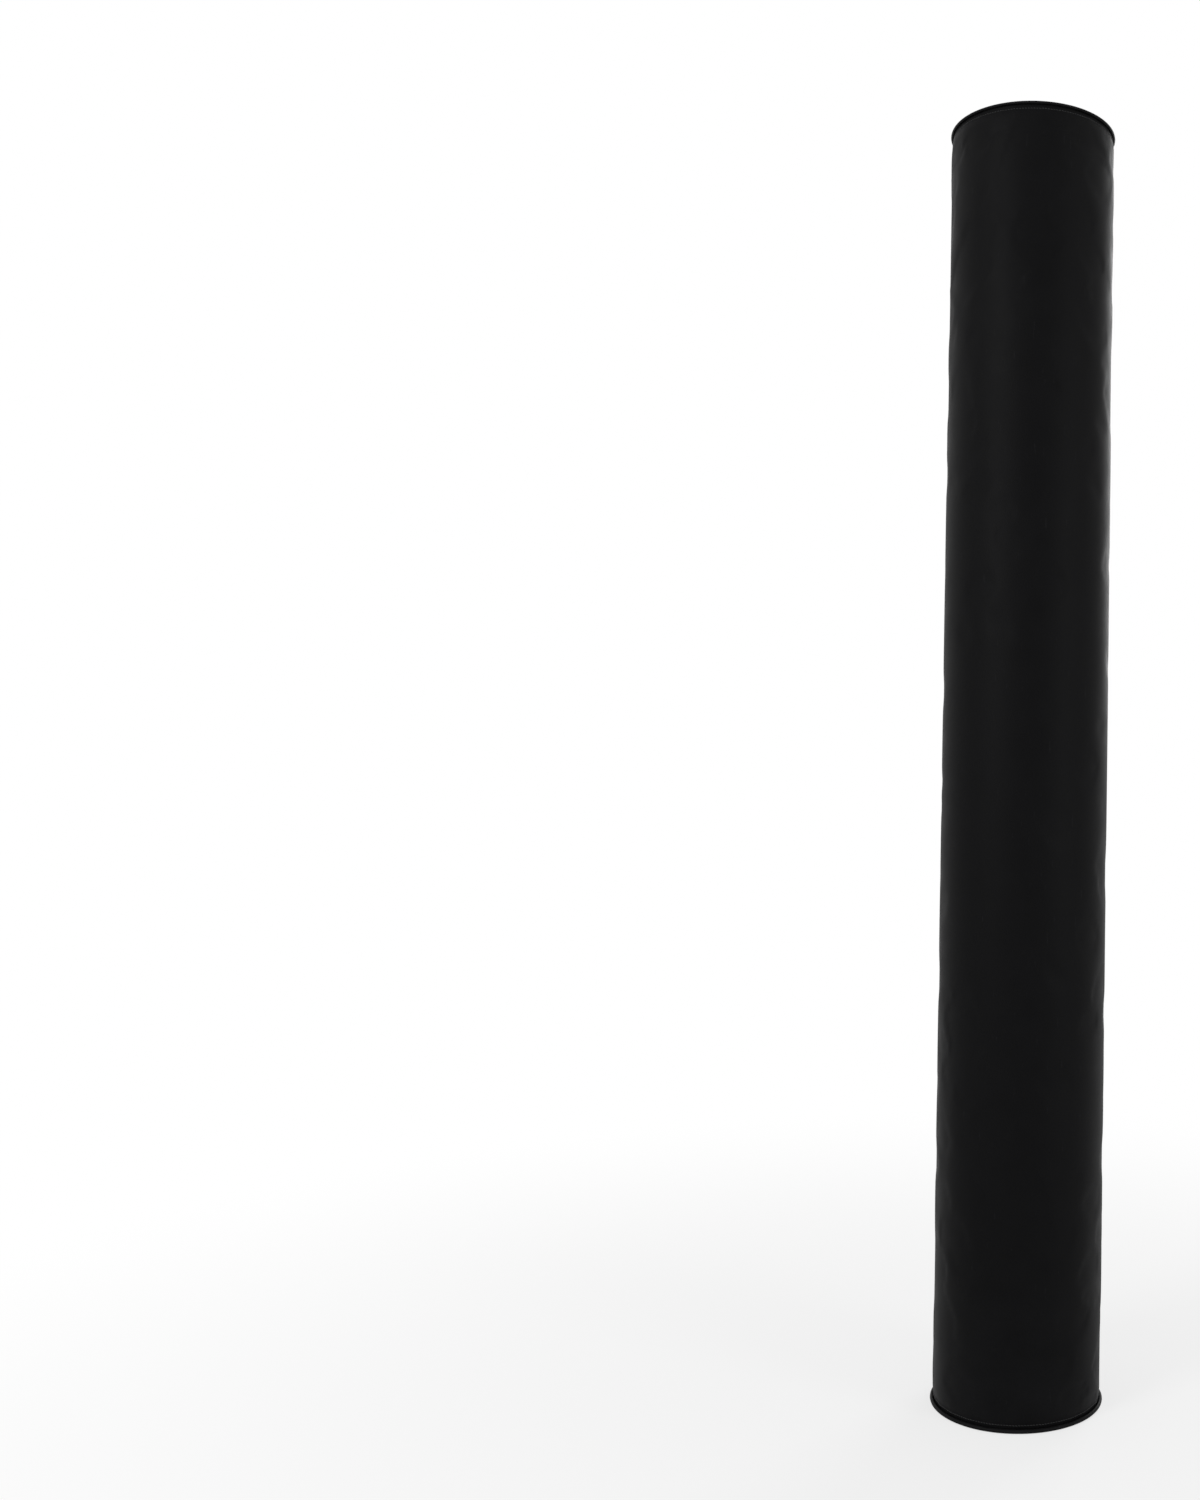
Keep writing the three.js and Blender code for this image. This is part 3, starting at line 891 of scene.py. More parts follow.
def settled_slack(angles, heights, share):
    """Radial shifts of a slack cloth round the foam, pinned at its seams and settled by simulation."""
    first_lift = 0.25 * MM
    start = first_lift * waves(share, heights[:, None], seed=11, count=14) * np.sin(math.pi * share)
    rows, columns = start.shape
    plan = spot(angles, COVER_RADIUS)
    plans = plan + plan / COVER_RADIUS * start[..., None]
    mesh = bpy.data.meshes.new("slack_cloth")
    points = upright(plans, heights).reshape(-1, 3)
    mesh.from_pydata(points.tolist(), [], grid_faces(rows, columns).tolist())
    cloth = new_object("slack_cloth", mesh)
    pins = cloth.vertex_groups.new(name="seams")
    pins.add([int(i) for i in border(rows, columns)], 1.0, "REPLACE")
    modifier = cloth.modifiers.new("slack", "CLOTH")
    settings = modifier.settings
    settings.quality = 5
    settings.mass = 0.2
    settings.vertex_group_mass = "seams"
    settings.shrink_min = -sizes().cloth_growth
    settings.tension_stiffness = settings.compression_stiffness = 40
    settings.shear_stiffness = 20
    settings.bending_stiffness = 4
    settings.use_pressure = True
    settings.uniform_pressure_force = 0.4
    settings.effector_weights.gravity = 0
    modifier.collision_settings.use_collision = False
    modifier.point_cache.frame_end = sizes().cloth_frames
    scene = bpy.context.scene
    first = scene.frame_current
    for frame_number in range(1, sizes().cloth_frames + 1):
        scene.frame_set(frame_number)
    settled = cloth.evaluated_get(bpy.context.evaluated_depsgraph_get()).to_mesh()
    found = np.empty(points.size)
    settled.vertices.foreach_get("co", found)
    scene.frame_set(first)
    bpy.data.objects.remove(cloth)
    bpy.data.meshes.remove(mesh)
    found = found.reshape(rows, columns, 3)
    return np.hypot(found[..., 0], found[..., 1]) - COVER_RADIUS


@functools.cache
def slack_field():
    """Angles, heights and lift of the slack cover over an even grid."""
    corner = corner_angle(0)
    angles = np.linspace(corner, 2 * math.pi - corner, SLACK_COLUMNS)
    heights = np.linspace(COVER_END, PAD_HEIGHT - COVER_END, SLACK_ROWS)
    share = (angles - angles[0]) / (angles[-1] - angles[0])
    lift = settled_slack(angles, heights, share)
    limit = sizes().slack_limit
    lift = np.where(lift > 0, limit * np.tanh(lift / limit), FOAM_GIVE * np.tanh(lift / FOAM_GIVE))
    return angles, heights, lift


@functools.cache
def gathers(seed):
    """Places, lengths, widths and heights of the gathers along one welt."""
    chance = np.random.default_rng(seed)
    places = np.cumsum(chance.uniform(*GATHER_PITCH, MOST_GATHERS))
    places = places[places < 2 * math.pi * COVER_RADIUS - LAST_GATHER]
    count = len(places)
    side = np.where(np.arange(count) % 2, 1, GATHER_DIP)
    height = sizes().pucker_height * chance.uniform(*GATHER_SHARE, count) * side
    return places, chance.uniform(*GATHER_LENGTH, count), chance.uniform(*GATHER_WIDTH, count), height


def gathered(angle, from_rim, seed):
    """Lift of the gathers beside a welt, over angles and distances from the cover's end."""
    total = np.zeros(np.broadcast(angle, from_rim).shape)
    for place, reach, width, height in zip(*gathers(seed)):
        across = (angle * COVER_RADIUS - place) / width
        rise = smooth((from_rim - GATHER_START) / GATHER_RISE) * (1 - smooth(from_rim / reach))
        total += height * np.exp(-(across**2)) * rise
    return total


def cover_lift(angle, height):
    """Lift of the cover off its plain shape: slack, gathers and the pull of the stitches."""
    angles, heights, field = slack_field()
    column = np.clip((angle - angles[0]) / (angles[1] - angles[0]), 0, len(angles) - 1.001)
    row = np.clip((height - heights[0]) / (heights[1] - heights[0]), 0, len(heights) - 1.001)
    column, row = np.broadcast_arrays(column, row)
    left, below = column.astype(int), row.astype(int)
    across, up = column - left, row - below
    low = field[below, left] * (1 - across) + field[below, left + 1] * across
    high = field[below + 1, left] * (1 - across) + field[below + 1, left + 1] * across
    from_slit = np.minimum(angle, 2 * math.pi - angle) * COVER_RADIUS
    low_end, high_end = height - COVER_END, PAD_HEIGHT - COVER_END - height
    to_rim = np.minimum(low_end, high_end)
    slack = (low * (1 - up) + high * up) * smooth((from_slit - HELD_BY_FLAP) / SLACK_EASE)
    folds = gathered(angle, low_end, seed=31) + gathered(angle, high_end, seed=32)
    folds = folds * smooth((from_slit - WELT_ROW_END) / WELT_ROW_END)
    pull = STITCH_PULL * np.exp(-(((to_rim - WELT_STITCH) / STITCH_PULL_WIDTH) ** 2))
    return slack * smooth(to_rim / SLACK_EASE) + folds - pull * smooth(from_slit / STITCH_PULL_EASE)


def cover_bounds(draw):
    """Angles of the cover's slit corners and of the cuts on each side of the fold."""
    corner = corner_angle(draw)
    return [corner, *FOLD_CUTS, 2 * math.pi - corner]


@functools.cache
def cover_columns():
    """Columns of the cover on the wing, over the fold and on the main section."""
    ends = cover_bounds(0)
    return [step_count((b - a) * COVER_RADIUS) - 1 for a, b in zip(ends, ends[1:])]


def cover_plan(height, inset):
    """Plan of the cover at a height, from the slit's face on the wing to the one on the main section."""
    draw = float(rim_draw(height))
    side, _ = slit_side(draw, inset, BORE_RADIUS)
    ends = cover_bounds(draw)
    parts = [np.linspace(a, b, n, endpoint=False) for a, b, n in zip(ends, ends[1:], cover_columns())]
    angles = np.concatenate(parts)[1:]
    reach = COVER_RADIUS - draw - inset + cover_lift(angles, height)
    return np.concatenate([side, spot(angles, reach), (side * [-1, 1])[::-1]])


def make_cover():
    """Cover in one grid, cut into the wing's, the fold's and the main section's part."""
    levels = cover_levels()
    outer, inner = (
        upright([cover_plan(z, inset) for z in levels], levels) for inset in (0, COVER_THICKNESS)
    )
    normals = grid_normals(outer)
    sheet = flat_places(outer[len(levels) // 2, :, :2], levels)
    wing_columns, fold_columns, _ = cover_columns()
    first = FACE_STEPS + CORNER_STEPS + wing_columns
    last = first + fold_columns
    cuts = {
        "wing": (slice(0, first + 1), ["foam_wing_outer"], ["wing_cover"]),
        "fold": (slice(first, last + 1), ["foam_wing_outer", "foam_front_outer"], []),
        "main": (slice(last, None), ["foam_main_outer", "foam_front_outer"], ["main_cover"]),
    }
    for part, (cut, foams, nodes) in cuts.items():
        grids = [grid[:, cut] for grid in (outer, inner, sheet)]
        piece = shell(f"cover_{part}", *grids, material_of("grained_vinyl"), normals[:, cut])
        joined_to(piece, part, "cover_vinyl", *nodes)


# Lining


def lining_plan(section, inset):
    """Plan of the lining from behind the cover, round the bore and out beside the fold."""
    span = SPANS[section]
    centre_across = FOLD_HALF + LINING_CORNER
    centre_radius = BORE_RADIUS + LINING_CORNER
    lean = math.asin(centre_across / centre_radius)
    radius = BORE_RADIUS + inset
    start = math.asin((SLIT_HALF + COVER_SEAT) / radius)
    arc = spot(np.linspace(start, span - lean, step_count(span * BORE_RADIUS), endpoint=False), radius)
    turn = np.linspace(lean, math.pi / 2, CORNER_STEPS)
    out = centre_radius * math.cos(lean)
    reach = LINING_CORNER - inset
    corner = beside_fold(section, centre_across - reach * np.sin(turn), out - reach * np.cos(turn))
    end = math.sqrt((RIM_RADIUS - COVER_SEAT) ** 2 - FOLD_HALF**2)
    face = np.linspace(out, end, SIDE_POINTS)[1:]
    face = beside_fold(section, np.full(len(face), FOLD_HALF + inset), face)
    return turned_over(np.concatenate([arc, corner, face]), section)


def to_panels(grid):
    """Lengthens the lining beside the fold up to the end panels, behind their turned edges."""
    behind = np.linalg.norm(grid[..., :2], axis=-1) - BORE_RADIUS
    roll = PANEL_ROLL - PANEL_THICKNESS
    into_roll = np.clip(PANEL_ROLL - behind, 0, roll)
    panel_depth = PANEL_ROLL - np.sqrt(roll**2 - into_roll**2) + SEAT_GAP
    spare = np.where(behind > PANEL_THICKNESS, LINING_END - panel_depth, 0.0)
    middle = PAD_HEIGHT / 2
    stretched = grid.copy()
    stretched[..., 2] = middle + (grid[..., 2] - middle) * (1 + spare / (middle - LINING_END))
    return stretched


def lining_sway(face, levels):
    """How far the slack lining stands into the bore, between the panels and the corner that hold it."""
    reach = np.linalg.norm(face[..., :2], axis=-1)
    share = np.linspace(0, 1, face.shape[1])
    drift = LINING_SWAY * (1 + np.tanh(waves(share, levels[:, None], seed=41, count=12)))
    low_end, high_end = levels - LINING_END, PAD_HEIGHT - LINING_END - levels
    between = smooth(low_end / SWAY_HELD) * smooth(high_end / SWAY_HELD)
    on_bore = reach < BORE_RADIUS + LINING_THICKNESS / 2
    edges = smooth(share / SWAY_EASE[0]) * smooth((1 - share) / SWAY_EASE[1])
    sway = -face / reach[..., None] * (drift * between[:, None] * edges * on_bore)[..., None]
    sway[..., 2] = 0
    return sway


def make_lining(section):
    """Woven lining, slack in the bore between the panels and the corner that hold it."""
    levels = np.linspace(LINING_END, PAD_HEIGHT - LINING_END, LINING_ROWS)
    plans = [lining_plan(section, inset) for inset in (0, LINING_THICKNESS)]
    outer, inner = (to_panels(upright([plan] * len(levels), levels)) for plan in plans)
    sway = lining_sway(outer, levels)
    outer, inner = outer + sway, inner + sway
    sheet = flat_places(outer[0, :, :2], levels)
    piece = shell(f"lining_{section}", outer, inner, sheet, material_of("woven_lining"))
    joined_to(piece, section, "lining_cloth", f"{section}_lining")


# End panels


def panel_start(radius):
    """Angle of an end panel's edge beside the slit, its corner rounded as the cover's is."""
    centre = RIM_RADIUS - SLIT_ROLL
    angle = math.asin((SLIT_HALF + SLIT_ROLL) / centre)
    if radius <= math.hypot(SLIT_HALF, centre * math.cos(angle)):
        return math.asin(SLIT_HALF / radius)
    cosine = (radius**2 + centre**2 - SLIT_ROLL**2) / (2 * radius * centre)
    return angle - math.acos(min(1.0, cosine))


def panel_profile(inset):
    """Radii and depths of an end panel: turned into the bore, then out to the seam at the rim."""
    centre_radius = BORE_RADIUS + PANEL_ROLL
    turn = np.linspace(math.pi / 2, 0, CORNER_STEPS)
    roll = PANEL_ROLL - inset
    flat = np.linspace(centre_radius, PANEL_EDGE, PANEL_RINGS)[1:]
    radii = [*[BORE_RADIUS + inset] * 2, *centre_radius - roll * np.sin(turn), *flat]
    depths = [PANEL_TURN, (PANEL_TURN + PANEL_ROLL) / 2, *PANEL_ROLL - roll * np.cos(turn)]
    depths += [inset] * len(flat)
    for back, dip, left in PANEL_SEAM:
        radii.append(RIM_RADIUS - back)
        depths.append(dip + left * inset)
    return zip(radii, depths)


def panel_rise(angles, radius):
    """How far the foam pushes the top panel up, unevenly and with gathers beside the welt."""
    middle = (BORE_RADIUS + RIM_RADIUS) / 2
    bulge = max(0.0, 1 - ((radius - middle) / (RIM_RADIUS - middle)) ** 2)
    uneven = PANEL_UNEVEN * waves(angles / math.pi, radius * PANEL_WAVES, seed=71, count=12)
    pulled = PANEL_GATHER * gathered(angles, RIM_RADIUS - radius, seed=73)
    return (sizes().panel_crown + uneven) * bulge + pulled


def make_panel(section, rim):
    """End panel, pushed up by the foam at the top and flat where the pad stands."""
    span = SPANS[section]
    columns = step_count(span * RIM_RADIUS)
    share = np.linspace(0, 1, columns)
    grids = []
    for inset in (0.0, PANEL_THICKNESS):
        rows = []
        for radius, depth in panel_profile(inset):
            start, end = panel_start(radius), span - math.asin(FOLD_HALF / radius)
            angles = start + (end - start) * share
            edge = np.minimum(angles - start, end - angles) * radius
            height = np.full(columns, from_rim(depth, rim))
            if rim == "top":
                height += panel_rise(angles, radius) * smooth(edge / PANEL_EASE)
            rows.append(np.column_stack([turned_over(spot(angles, radius), section), height]))
        grids.append(np.stack(rows))
    sheet = grids[0] * [1, 1, 0]
    piece = shell(f"{rim}_panel_{section}", *grids, sheet, material_of("panel_vinyl"))
    joined_to(piece, section, "cover_vinyl", f"{section}_{rim}_panel")


# Piping


def welt_section(bead, scale, flanged):
    """Radii and distances from the pad's end round a bead, with its sewn flange or without."""
    depth = SEAT_GAP + bead
    centre = np.array([RIM_RADIUS + depth - (1 - scale) * TAPER_SINK, depth])
    radius = bead * scale
    near, far = PANEL_SEAT, PANEL_SEAT + FLANGE_THICKNESS
    if flanged:
        start = math.pi + math.asin(min(BEAD_GRIP[0], (depth - near) / radius))
        stop = 3 * math.pi + math.asin(min(BEAD_GRIP[1], (depth - far) / radius))
        turn = np.linspace(start, stop, BEAD_SIDES)
    else:
        turn = np.linspace(0, 2 * math.pi, BEAD_SIDES, endpoint=False)
    ring = centre + radius * np.column_stack([np.cos(turn), np.sin(turn)])
    inner = RIM_RADIUS - FLANGE_WIDTH
    return np.concatenate([ring, [[inner, far], [inner, near]]]) if flanged else ring


def make_piping(rim, part):
    """Piped welt of one rim: a section's part ends tapered beside the slit, the fold's part is the bead."""
    slit = math.asin((SLIT_HALF + BEAD_TO_SLIT) / COVER_RADIUS)
    flanged = part != "fold"
    start, end = (slit, SPANS[part] - BEND_CUT) if flanged else FOLD_CUTS
    angles = np.linspace(start, end, step_count((end - start) * COVER_RADIUS))
    scales = np.ones(len(angles))
    if flanged:
        taper = start + BEAD_TAPER / COVER_RADIUS
        angles = np.concatenate([taper, angles[angles > start + BEAD_EVEN / COVER_RADIUS]])
        share = (angles - slit) * COVER_RADIUS / BEAD_TAPER[-1]
        scales = TAPER_SCALE + (1 - TAPER_SCALE) * np.sqrt(np.clip(share, 0, 1))
    sections = []
    for angle, scale in zip(angles, scales):
        radii, depths = welt_section(BEADS[rim], scale, flanged).T
        sections.append(np.column_stack([turned_over(spot(angle, radii), part), from_rim(depths, rim)]))
    sections = np.stack(sections)
    sheet = on_sheet((angles * COVER_RADIUS)[:, None], np.arange(sections.shape[1]) * BEAD_SIDE)
    piece = swept(f"{rim}_piping_{part}", sections, sheet, material_of("welt_vinyl"))
    joined_to(piece, part, "piping_vinyl", *([f"{part}_{rim}_piping"] if flanged else []))


# Closure


def flap_radius(across, up):
    """Radius of the flap's inner face: over its hem, down on the cover and up over the strips."""
    on_hem = smooth((across - FLAP_LAID) / FLAP_LAID)
    climbed = smooth((CLIMB[0] - across) / (CLIMB[0] - CLIMB[1]))
    laid = LAID_RADIUS + (REST_RADIUS - LAID_RADIUS) * on_hem + (RAISED_RADIUS - LAID_RADIUS) * climbed
    free = smooth((STRIP_TO - across) / (STRIP_TO - FLAP_EDGE))
    ripple = sizes().flap_wave * waves(across * 0, up, seed=53, count=10)
    uneven = FLAP_UNEVEN * waves(across * 4, up, seed=57, count=10) * climbed
    return laid + uneven + free * (ripple * FLAP_RIPPLE - FLAP_DROOP)


def flap_point(across, up, depth):
    """Point of the flap by its place on the flat sheet and its depth over the inner face."""
    across, up, depth = np.broadcast_arrays(across, up, depth)
    return point(across / COVER_RADIUS, flap_radius(across, up) + depth, up)


def flap_end(across):
    """Height of the flap's lower edge, rounded at the free corner."""
    inward = np.clip(across - FLAP_EDGE, 0, FLAP_CORNER)
    return FLAP_END + FLAP_CORNER - np.sqrt(FLAP_CORNER**2 - (FLAP_CORNER - inward) ** 2)


def flap_sheet(name, across):
    """Part of the flap between two places across it, from its lower to its upper edge."""
    share = np.linspace(0, 1, step_count(FLAP_HEIGHT, LONG_STEP))[:, None]
    low = flap_end(across)
    up = low + (PAD_HEIGHT - 2 * low) * share
    sheet = on_sheet(across, up)
    outer, inner = (flap_point(across, up, depth) for depth in (FLAP_THICKNESS, 0.0))
    return shell(name, outer, inner, sheet, material_of("grained_vinyl"))


def make_flap():
    """Closure flap: its leaf, and its root beside the flap's fold."""
    root_end = FLAP_ROOT - ROOT_BEND
    corner = FLAP_EDGE + FLAP_CORNER * (1 - np.sin(np.linspace(0, math.pi / 2, FLAP_CORNER_COLUMNS)))
    across = np.concatenate([np.linspace(root_end, FLAP_EDGE + FLAP_CORNER, FLAP_COLUMNS), corner[1:]])
    leaf = flap_sheet("closure_flap_leaf", across)
    joined_to(leaf, "flap", "cover_vinyl", "closure_flap")
    root = flap_sheet("flap_root", np.linspace(FLAP_ROOT + ROOT_BEND, root_end, ROOT_COLUMNS))
    bent(root, "flap_fold", FLAP_ROOT / COVER_RADIUS, ROOT_BEND)


def make_hem():
    """The flap's turned edge, doubled under itself and pulled down along its two rows of stitches."""
    fold = HEM_EDGE - HEM_ROLL
    middle = (HEM_UNDER + HEM_FACE) / 2
    turn = np.linspace(-math.pi / 2, math.pi / 2, TURN_POINTS)
    under = np.linspace(HEM_START, fold, SIDE_POINTS)[:-1]
    over = np.linspace(fold, FLAP_ROOT + ROOT_BEND, HEM_COLUMNS)[1:]
    levels = spaced(FLAP_END, PAD_HEIGHT - FLAP_END, LONG_STEP)

    def face(half, lower, upper):
        across = np.concatenate([under, fold + half * np.cos(turn), over])
        radius = np.concatenate([np.full(len(under), lower), middle + half * np.sin(turn), upper])
        return upright([spot(across / COVER_RADIUS, radius)] * len(levels), levels)

    pull = sum(HEM_PULL * np.exp(-(((over - row) / HEM_PULL_WIDTH) ** 2)) for row in HEM_ROWS)
    outer = face((HEM_FACE - HEM_UNDER) / 2, HEM_UNDER, HEM_FACE - pull)
    inner = face(HEM_HOLLOW, middle - HEM_HOLLOW, np.full(len(over), REST_RADIUS))
    sheet = flat_places(outer[0, :, :2], levels)
    piece = shell("flap_hem", outer, inner, sheet, material_of("grained_vinyl"))
    joined_to(piece, "wing", "cover_vinyl", "flap_sewn_edge")


def binding_path(inset=0.0):
    """Path along the flap's bound edges and the direction inwards from it, on the flat sheet."""
    corner = np.array([FLAP_EDGE, FLAP_END]) + FLAP_CORNER
    lower = np.linspace(BINDING_START, corner[0], BINDING_COLUMNS)[:-1]
    turn = np.linspace(math.pi / 2, 0, TURN_POINTS)
    inward = np.column_stack([np.cos(turn), np.sin(turn)])
    rise = np.linspace(corner[1], PAD_HEIGHT / 2, BINDING_ROWS)[1:]
    points = np.concatenate([
        np.column_stack([lower, np.full(len(lower), FLAP_END)]),
        corner - FLAP_CORNER * inward,
        np.column_stack([np.full(len(rise), FLAP_EDGE), rise]),
    ])
    inward = np.concatenate([
        np.tile([0.0, 1.0], (len(lower), 1)),
        inward,
        np.tile([1.0, 0.0], (len(rise), 1)),
    ])
    points = np.concatenate([points, (points * [1, -1] + [0, PAD_HEIGHT])[-2::-1]])
    inward = np.concatenate([inward, (inward * [1, -1])[-2::-1]])
    return points + inward * inset, inward


def make_binding():
    """Woven tape folded over the flap's edges."""
    half = FLAP_THICKNESS / 2 + BINDING_EASE
    full = half + BINDING_THICKNESS
    turn = np.linspace(math.pi / 2, 1.5 * math.pi, BOW_POINTS)
    bow = np.column_stack([np.cos(turn), np.sin(turn)])
    centre = [full - BINDING_REACH, 0]
    lip = np.array([
        [BINDING_WIDTH, full - BINDING_LIP[1]],
        [BINDING_WIDTH - BINDING_LIP[0], full],
        [BINDING_WIDTH / 2, full],
    ])
    outside = [lip, centre + full * bow, lip[::-1] * [1, -1]]
    inside = [[[BINDING_WIDTH, -half]], centre + half * bow[::-1], [[BINDING_WIDTH, half]]]
    section = np.concatenate(outside + inside) + [0, FLAP_THICKNESS / 2]
    points, inward = binding_path()
    places = points[:, None, :] + inward[:, None, :] * section[:, :1]
    sections = flap_point(places[..., 0], places[..., 1], section[:, 1])
    sheet = on_sheet(distances(points)[:, None], section[:, 0])
    piece = swept("flap_edge_binding", sections, sheet, material_of("woven_tape"))
    joined_to(piece, "flap", "binding_tape", "flap_binding")


def make_strips():
    """Loop strip on the cover and hook strip inside the flap."""
    levels = spaced(STRIP_END, PAD_HEIGHT - STRIP_END, LONG_STEP)
    sheet = on_sheet(np.linspace(STRIP_FROM, STRIP_TO, STRIP_COLUMNS), levels[:, None])
    across, up = sheet[..., 0], sheet[..., 1]
    to_edge = np.minimum(across - STRIP_TO, STRIP_FROM - across)
    selvedge = SELVEDGE * (1 - smooth(to_edge / SELVEDGE_WIDTH))
    pile = np.abs(PILE_UNEVEN * waves(across * PILE_WAVES[0], up * PILE_WAVES[1], seed=61, count=16))
    angles = across / COVER_RADIUS
    outer, inner = (point(angles, radius, up) for radius in (LOOP_FACES[1] - selvedge - pile, LOOP_FACES[0]))
    loops = shell("loop_tape", outer, inner, sheet, material_of("loop_pile"))
    joined_to(loops, "main", "hook_and_loop", "loop_strip")
    back, front = (flap_point(across, up, depth) for depth in (-HOOK_SUNK, -HOOK_DEPTH + selvedge))
    hooks = shell("hook_tape", back, front, sheet, material_of("hook_pile"))
    joined_to(hooks, "flap", "hook_and_loop", "hook_strip")


# Thread


def along_row(values, points, places):
    """Values kept at the points of a row, at distances along it."""
    reached = distances(points)
    return np.stack([np.interp(places, reached, column) for column in values.T], axis=-1)


def stitch_row(points, normals):
    """Stitches along a row: each a short thread whose ends go down into the sheet."""
    radius = sizes().thread_width / 2
    row_length = float(distances(points)[-1])
    count = max(1, int(row_length // sizes().stitch_pitch))
    pitch = row_length / count
    shares = np.array([0.06, 0.25, 0.75, 0.94])
    widths = np.array([0.45, 1.0, 1.0, 0.45]) * radius
    lifts = np.array([-0.7, 0.45, 0.45, -0.7]) * radius
    slants = np.array([-0.45, -0.2, 0.2, 0.45]) * radius
    places = (np.arange(count)[:, None] + shares) * pitch
    normal = unit(along_row(normals, points, places))
    back, ahead = (along_row(points, points, places + step * pitch) for step in (-0.01, 0.01))
    beside = np.cross(unit(ahead - back), normal)
    centre = along_row(points, points, places) + normal * lifts[:, None] + beside * slants[:, None]
    turn = np.arange(THREAD_SIDES)[:, None] * 2 * math.pi / THREAD_SIDES
    ring = beside[:, :, None, :] * np.cos(turn) + normal[:, :, None, :] * np.sin(turn)
    corners = centre[:, :, None, :] + ring * widths[:, None, None]
    sheet = on_sheet((shares * pitch)[:, None], turn[:, 0] * radius)
    return corners, np.broadcast_to(sheet, corners.shape)


def stitches(name, part, rows):
    """One piece of all the stitches of several rows."""
    corners, sheet = (np.concatenate(made) for made in zip(*(stitch_row(*row) for row in rows)))
    count, rings, sides = corners.shape[:3]
    index = grid_index(rings, sides)
    thread = np.concatenate([tube_faces(rings, sides), [index[0][::-1], index[-1]]])
    faces = (thread + (np.arange(count) * rings * sides)[:, None, None]).reshape(-1, 4)
    material = material_of("sewing_thread")
    piece = new_mesh(name, corners.reshape(-1, 3), faces, sheet.reshape(-1, 3), material)
    joined_to(piece, part, "binding_tape")


def row_on(points, side=1):
    """A row of stitches on the outer side of a sheet round the pad, or on its bore side."""
    return points, side * unit(points * [1, 1, 0])


def rim_angles(start, end, radius):
    return np.linspace(start, end, step_count((end - start) * radius, ROW_STEP))


def welt_row(start, end, rim):
    """A row of stitches on the cover beside a welt, between two angles."""
    height = from_rim(COVER_END + WELT_STITCH, rim)
    angles = rim_angles(start, end, COVER_RADIUS)
    radius = COVER_RADIUS - float(rim_draw(height)) + cover_lift(angles, height)
    return row_on(point(angles, radius, height))


def bore_row(start, end, rim):
    """A row of stitches that holds an end panel's turned edge in the bore, between two angles."""
    height = from_rim(PANEL_TURN - BORE_ROW, rim)
    return row_on(point(rim_angles(start, end, BORE_RADIUS), BORE_RADIUS, height), -1)


def strip_outline(inset):
    """Places of the row that sews a strip down, on the flat sheet."""
    near, far = STRIP_FROM - inset, STRIP_TO + inset
    low, high = STRIP_END + inset, PAD_HEIGHT - STRIP_END - inset
    levels = np.linspace(low, high, ROW_POINTS)
    across = np.linspace(far, near, SIDE_POINTS)
    sides = [
        np.column_stack([np.full(ROW_POINTS, near), levels]),
        np.column_stack([across[::-1], np.full(SIDE_POINTS, high)])[1:],
        np.column_stack([np.full(ROW_POINTS, far), levels[::-1]])[1:],
        np.column_stack([across, np.full(SIDE_POINTS, low)])[1:],
    ]
    return np.concatenate(sides).T


def make_stitching():
    """Rows under the welts, along the hem and the binding, and round both strips."""
    first, near_edge = WELT_ROW_END / COVER_RADIUS, ROW_END / BORE_RADIUS
    slit = 2 * math.pi
    wing_rows = [welt_row(first, FOLD_CUTS[0], rim) for rim in BEADS]
    wing_rows += [bore_row(near_edge, FOLD_ANGLE - near_edge, rim) for rim in BEADS]
    main_rows = [welt_row(FOLD_CUTS[1], slit - first, rim) for rim in BEADS]
    main_rows += [bore_row(FOLD_ANGLE + near_edge, slit - near_edge, rim) for rim in BEADS]
    fold_rows = [welt_row(*FOLD_CUTS, rim) for rim in BEADS]
    levels = np.linspace(FLAP_END + ROW_END, PAD_HEIGHT - FLAP_END - ROW_END, ROW_POINTS)
    wing_rows += [row_on(point(row / COVER_RADIUS, HEM_FACE - SUNK_IN_HEM, levels)) for row in HEM_ROWS]
    across, up = strip_outline(STRIP_ROW)
    main_rows.append(row_on(point(across / COVER_RADIUS, LOOP_FACES[1] - SUNK_IN_LOOPS, up)))
    bound = binding_path(BINDING_WIDTH - BINDING_ROW)[0].T
    tape = BINDING_THICKNESS + BINDING_EASE
    flap_rows = [
        row_on(flap_point(*bound, FLAP_THICKNESS + tape)),
        row_on(flap_point(*bound, -tape), -1),
        row_on(flap_point(across, up, FLAP_THICKNESS)),
        row_on(flap_point(across, up, -HOOK_DEPTH + SUNK_IN_HOOKS), -1),
    ]
    stitches("stitches_wing", "wing", wing_rows)
    stitches("stitches_main", "main", main_rows)
    stitches("stitches_flap", "flap", flap_rows)
    stitches("stitches_fold", "fold", fold_rows)


# Stage

FLOOR_RADIUS = 9
FLOOR_DROP = 0.4 * MM
FLOOR_CORNERS = 64
LAMP_TARGET = Vector((0, 0, 1.0))

# Distances from the pad's middle between which the floor goes over into the background
FULL_SHADOW = 0.3
NO_SHADOW = 2.2

# Place, width and height, and power of each lamp
LAMPS = {
    "key_lamp": ((-2.4, -2.6, 2.3), (1.2, 2.4), 55),
    "fill_lamp": ((2.6, -1.9, 1.5), (1.0, 2.4), 25),
    "back_lamp": ((1.4, 2.9, 2.4), (1.6, 2.2), 40),
}


def background_share(tree):
    """1 where a ray comes from the camera or by gloss or glass, and 0 for the light on the pad."""
    path = node(tree, "ShaderNodeLightPath").outputs
    seen = math_node(tree, "MAXIMUM", path["Is Camera Ray"], path["Is Glossy Ray"])
    return math_node(tree, "MAXIMUM", seen, path["Is Transmission Ray"])


def mixed_shader(tree, share, first, second):
    made = node(tree, "ShaderNodeMixShader", {0: share, 1: first.outputs[0], 2: second.outputs[0]})
    return made.outputs[0]


